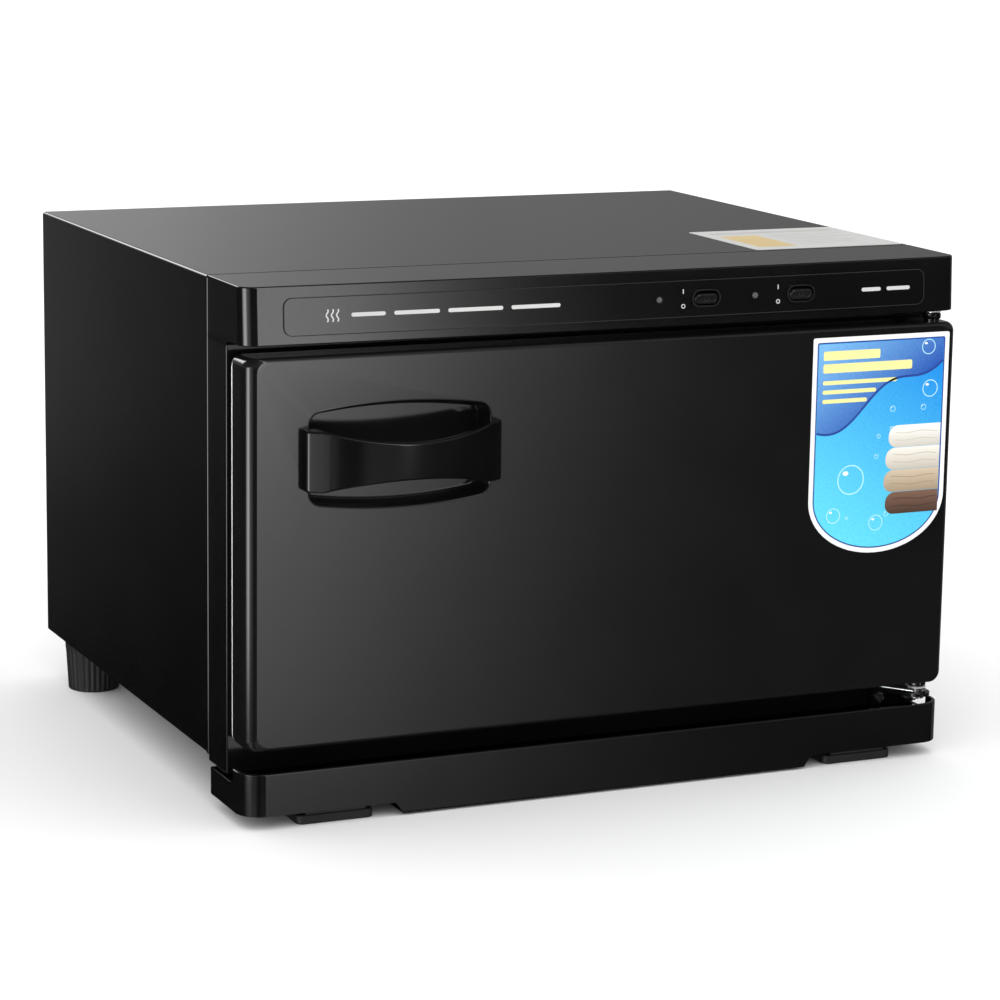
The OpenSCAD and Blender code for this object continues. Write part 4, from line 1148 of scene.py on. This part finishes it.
for width, nodes in edge_widths.items():
    for node in nodes:
        soften(node, width * MM)

# ---------- floor, light and camera ----------

bm = bmesh.new()
sides, reach = 96, 11.0
rows = []
for radius, height in ((0.05, 0), (0.6, 0), (2.0, 0), (5.0, 0), (8.0, 0), (reach, 0)):
    turns = [2 * math.pi * k / sides for k in range(sides)]
    rows.append([bm.verts.new((radius * math.cos(a), radius * math.sin(a), height)) for a in turns])
bm.faces.new(rows[0])
join_rings(bm, rows)
floor = add_object("floor", bm)
floor.data.materials.append(surface("studio floor", 0.93, 0.94, 0.6, 0.03,
                                    specular=0.0, peel=0.02, peel_scale=60, mottle=2))
floor.visible_glossy = False

world = bpy.data.worlds.new("studio")
bpy.context.scene.world = world
world.use_nodes = True
sky = world.node_tree
sky.nodes.clear()


def maths(operation, a, b=None):
    node = sky.nodes.new("ShaderNodeMath")
    node.operation = operation
    for socket, value in ((node.inputs[0], a), (node.inputs[1], b)):
        if value is None:
            continue
        if isinstance(value, (int, float)):
            socket.default_value = value
        else:
            sky.links.new(value, socket)
    return node.outputs[0]


where = sky.nodes.new("ShaderNodeTexCoord")
split = sky.nodes.new("ShaderNodeSeparateXYZ")
sky.links.new(where.outputs["Generated"], split.inputs[0])
azimuth = maths("MULTIPLY", maths("ARCTAN2", split.outputs["X"], maths("MULTIPLY", split.outputs["Y"], -1.0)),
                180 / math.pi)
height = maths("MULTIPLY", maths("ARCSINE", split.outputs["Z"]), 180 / math.pi)


def profile_of(value, stops, low, high):
    """A brightness that runs through (angle, level) stops, with levels up to 1."""
    place = sky.nodes.new("ShaderNodeMapRange")
    place.inputs["From Min"].default_value = low
    place.inputs["From Max"].default_value = high
    sky.links.new(value, place.inputs["Value"])
    ramp = sky.nodes.new("ShaderNodeValToRGB")
    ramp.color_ramp.interpolation = "EASE"
    elements = ramp.color_ramp.elements
    while len(elements) < len(stops):
        elements.new(0.5)
    for element, (angle, level) in zip(elements, stops):
        element.position = (angle - low) / (high - low)
        element.color = (level, level, level, 1)
    sky.links.new(place.outputs["Result"], ramp.inputs["Fac"])
    bright = sky.nodes.new("ShaderNodeRGBToBW")
    sky.links.new(ramp.outputs["Color"], bright.inputs["Color"])
    return bright.outputs["Val"]


def panel(strength, around, upwards):
    across = profile_of(azimuth, around, -180, 180)
    along = profile_of(height, upwards, -90, 90)
    return maths("MULTIPLY", maths("MULTIPLY", across, along), strength)


panels = [
    # right of the camera and low: what the door and the tray mirror
    panel(5.6, ((11, 0), (15.5, 0.95), (19, 1), (21, 0.72), (22.5, 0.48), (24.2, 0.23), (24.9, 0.17),
                (25.6, 0.11), (26.3, 0.07), (27, 0.035), (28, 0.01), (30, 0)),
          ((-19, 0), (-17.5, 0.12), (-15.7, 0.3), (-14.4, 0.38), (-12.6, 0.46), (-10.5, 0.66), (-8.6, 0.92),
           (-7, 1), (-6.5, 1), (-4.5, 0))),
    # the same light higher up, narrower: what the header mirrors
    panel(5.1, ((11, 0), (15, 0.95), (18, 1), (20, 0.6), (21.5, 0.22), (22.5, 0.1), (23.2, 0.08),
                (24.2, 0.02), (26, 0)),
          ((-6.5, 0), (-4.5, 1), (60, 0.9), (80, 0.6))),
    # tall strip on the left: the bright line on the round corners
    panel(10.0, ((-90, 0), (-81, 0.4), (-74, 0.85), (-67, 1), (-60, 0.85), (-54, 0.4), (-50, 0.18),
                 (-40, 0.12), (-23, 0)),
          ((-22, 0.03), (-15.3, 0.04), (-13.8, 0.9), (-12, 1), (6, 1), (16, 0))),
    # overhead
    panel(0.35, ((-10, 0), (5, 0.7), (20, 1), (45, 1), (70, 0.3), (90, 0)),
          ((0, 0), (8, 0.5), (15, 1), (60, 1), (80, 0.5))),
    # behind: what the top mirrors
    panel(1.05, ((140, 0.2), (150, 0.26), (156, 0.3), (158, 0.34), (160, 0.46), (162.5, 0.6), (165, 0.7),
                 (180, 0.74)),
          ((0, 0), (5, 1), (16, 0.9), (30, 0.5), (60, 0.2))),
    # behind and low: what the left side mirrors
    panel(0.27, ((-178, 1.0), (-164.5, 1.0), (-162.5, 0.3), (-160.5, 0.12), (-157, 0.05), (-150, 0)),
          ((-15, 0.05), (-12.5, 0.3), (-9, 0.9), (-2, 1.0), (20, 1), (40, 0))),
    # behind and high: the bright line along the shell's upper left edge
    panel(5.0, ((-180, 1), (-158, 1), (-150, 0)), ((12, 0), (18, 1), (30, 1), (38, 0))),
    # in front and low: what the handle mirrors
    panel(1.0, ((-70, 0), (-52, 1), (-36, 1), (-24, 0), (-16, 0), (-6, 0.4), (10, 0.36), (25, 0.15),
                (40, 0.06), (60, 0)),
          ((-60, 0.4), (-24, 1), (-18.5, 0.9), (-16, 0))),
    # right side
    panel(0.25, ((90, 0), (98, 1), (126, 1), (132, 0)),
          ((-30, 0.4), (-12, 0.8), (10, 1), (26, 0.4), (60, 0))),
]
mirrored = panels[0]
for extra in panels[1:]:
    mirrored = maths("ADD", mirrored, extra)
rays = sky.nodes.new("ShaderNodeLightPath")
ambient = 1.6


def background(strength):
    node = sky.nodes.new("ShaderNodeBackground")
    if isinstance(strength, float):
        node.inputs["Strength"].default_value = strength
    else:
        sky.links.new(strength, node.inputs["Strength"])
    return node.outputs[0]


def choose(factor, a, b):
    node = sky.nodes.new("ShaderNodeMixShader")
    sky.links.new(factor, node.inputs[0])
    sky.links.new(a, node.inputs[1])
    sky.links.new(b, node.inputs[2])
    return node.outputs[0]


soft = background(ambient)
glossy = choose(rays.outputs["Is Glossy Ray"], soft, background(mirrored))
seen = choose(rays.outputs["Is Camera Ray"], glossy, background(1.0))
out = sky.nodes.new("ShaderNodeOutputWorld")
sky.links.new(seen, out.inputs["Surface"])


def soft_light(name, place, target, size, power):
    """A square light that the glossy surfaces don't mirror."""
    light = bpy.data.lights.new(name, "AREA")
    light.size = size
    light.energy = power
    obj = bpy.data.objects.new(name, light)
    obj.location = place
    obj.rotation_euler = (Vector(target) - Vector(place)).to_track_quat("-Z", "Y").to_euler()
    obj.visible_glossy = False
    obj.visible_camera = False
    bpy.context.scene.collection.objects.link(obj)


soft_light("key", (-1.6, -3.2, 3.4), (0, 0, 0.15), 3.0, 16)
soft_light("fill", (3.4, -1.0, 2.6), (0, 0, 0.15), 2.6, 5)

scene = bpy.context.scene
scene.view_settings.view_transform = "Standard"
yaw, drop, roll = math.radians(24.34), math.radians(11.52), math.radians(0.88)
level = math.cos(drop)
forward = Vector((math.sin(yaw) * level, math.cos(yaw) * level, -math.sin(drop)))
right = Vector((math.cos(yaw), -math.sin(yaw), 0))
up = right.cross(forward)
turned_right = right * math.cos(roll) + up * math.sin(roll)
turned_up = up * math.cos(roll) - right * math.sin(roll)
camera_data = bpy.data.cameras.new("camera")
camera_data.lens = 119.05
camera_data.sensor_width = 36
camera_data.dof.use_dof = False
camera_data.clip_end = 60
camera = bpy.data.objects.new("camera", camera_data)
spot = Vector((-0.8223, -1.8352, 0.549))
camera.matrix_world = Matrix((
    (turned_right.x, turned_up.x, -forward.x, spot.x),
    (turned_right.y, turned_up.y, -forward.y, spot.y),
    (turned_right.z, turned_up.z, -forward.z, spot.z),
    (0, 0, 0, 1)))
scene.collection.objects.link(camera)
scene.camera = camera
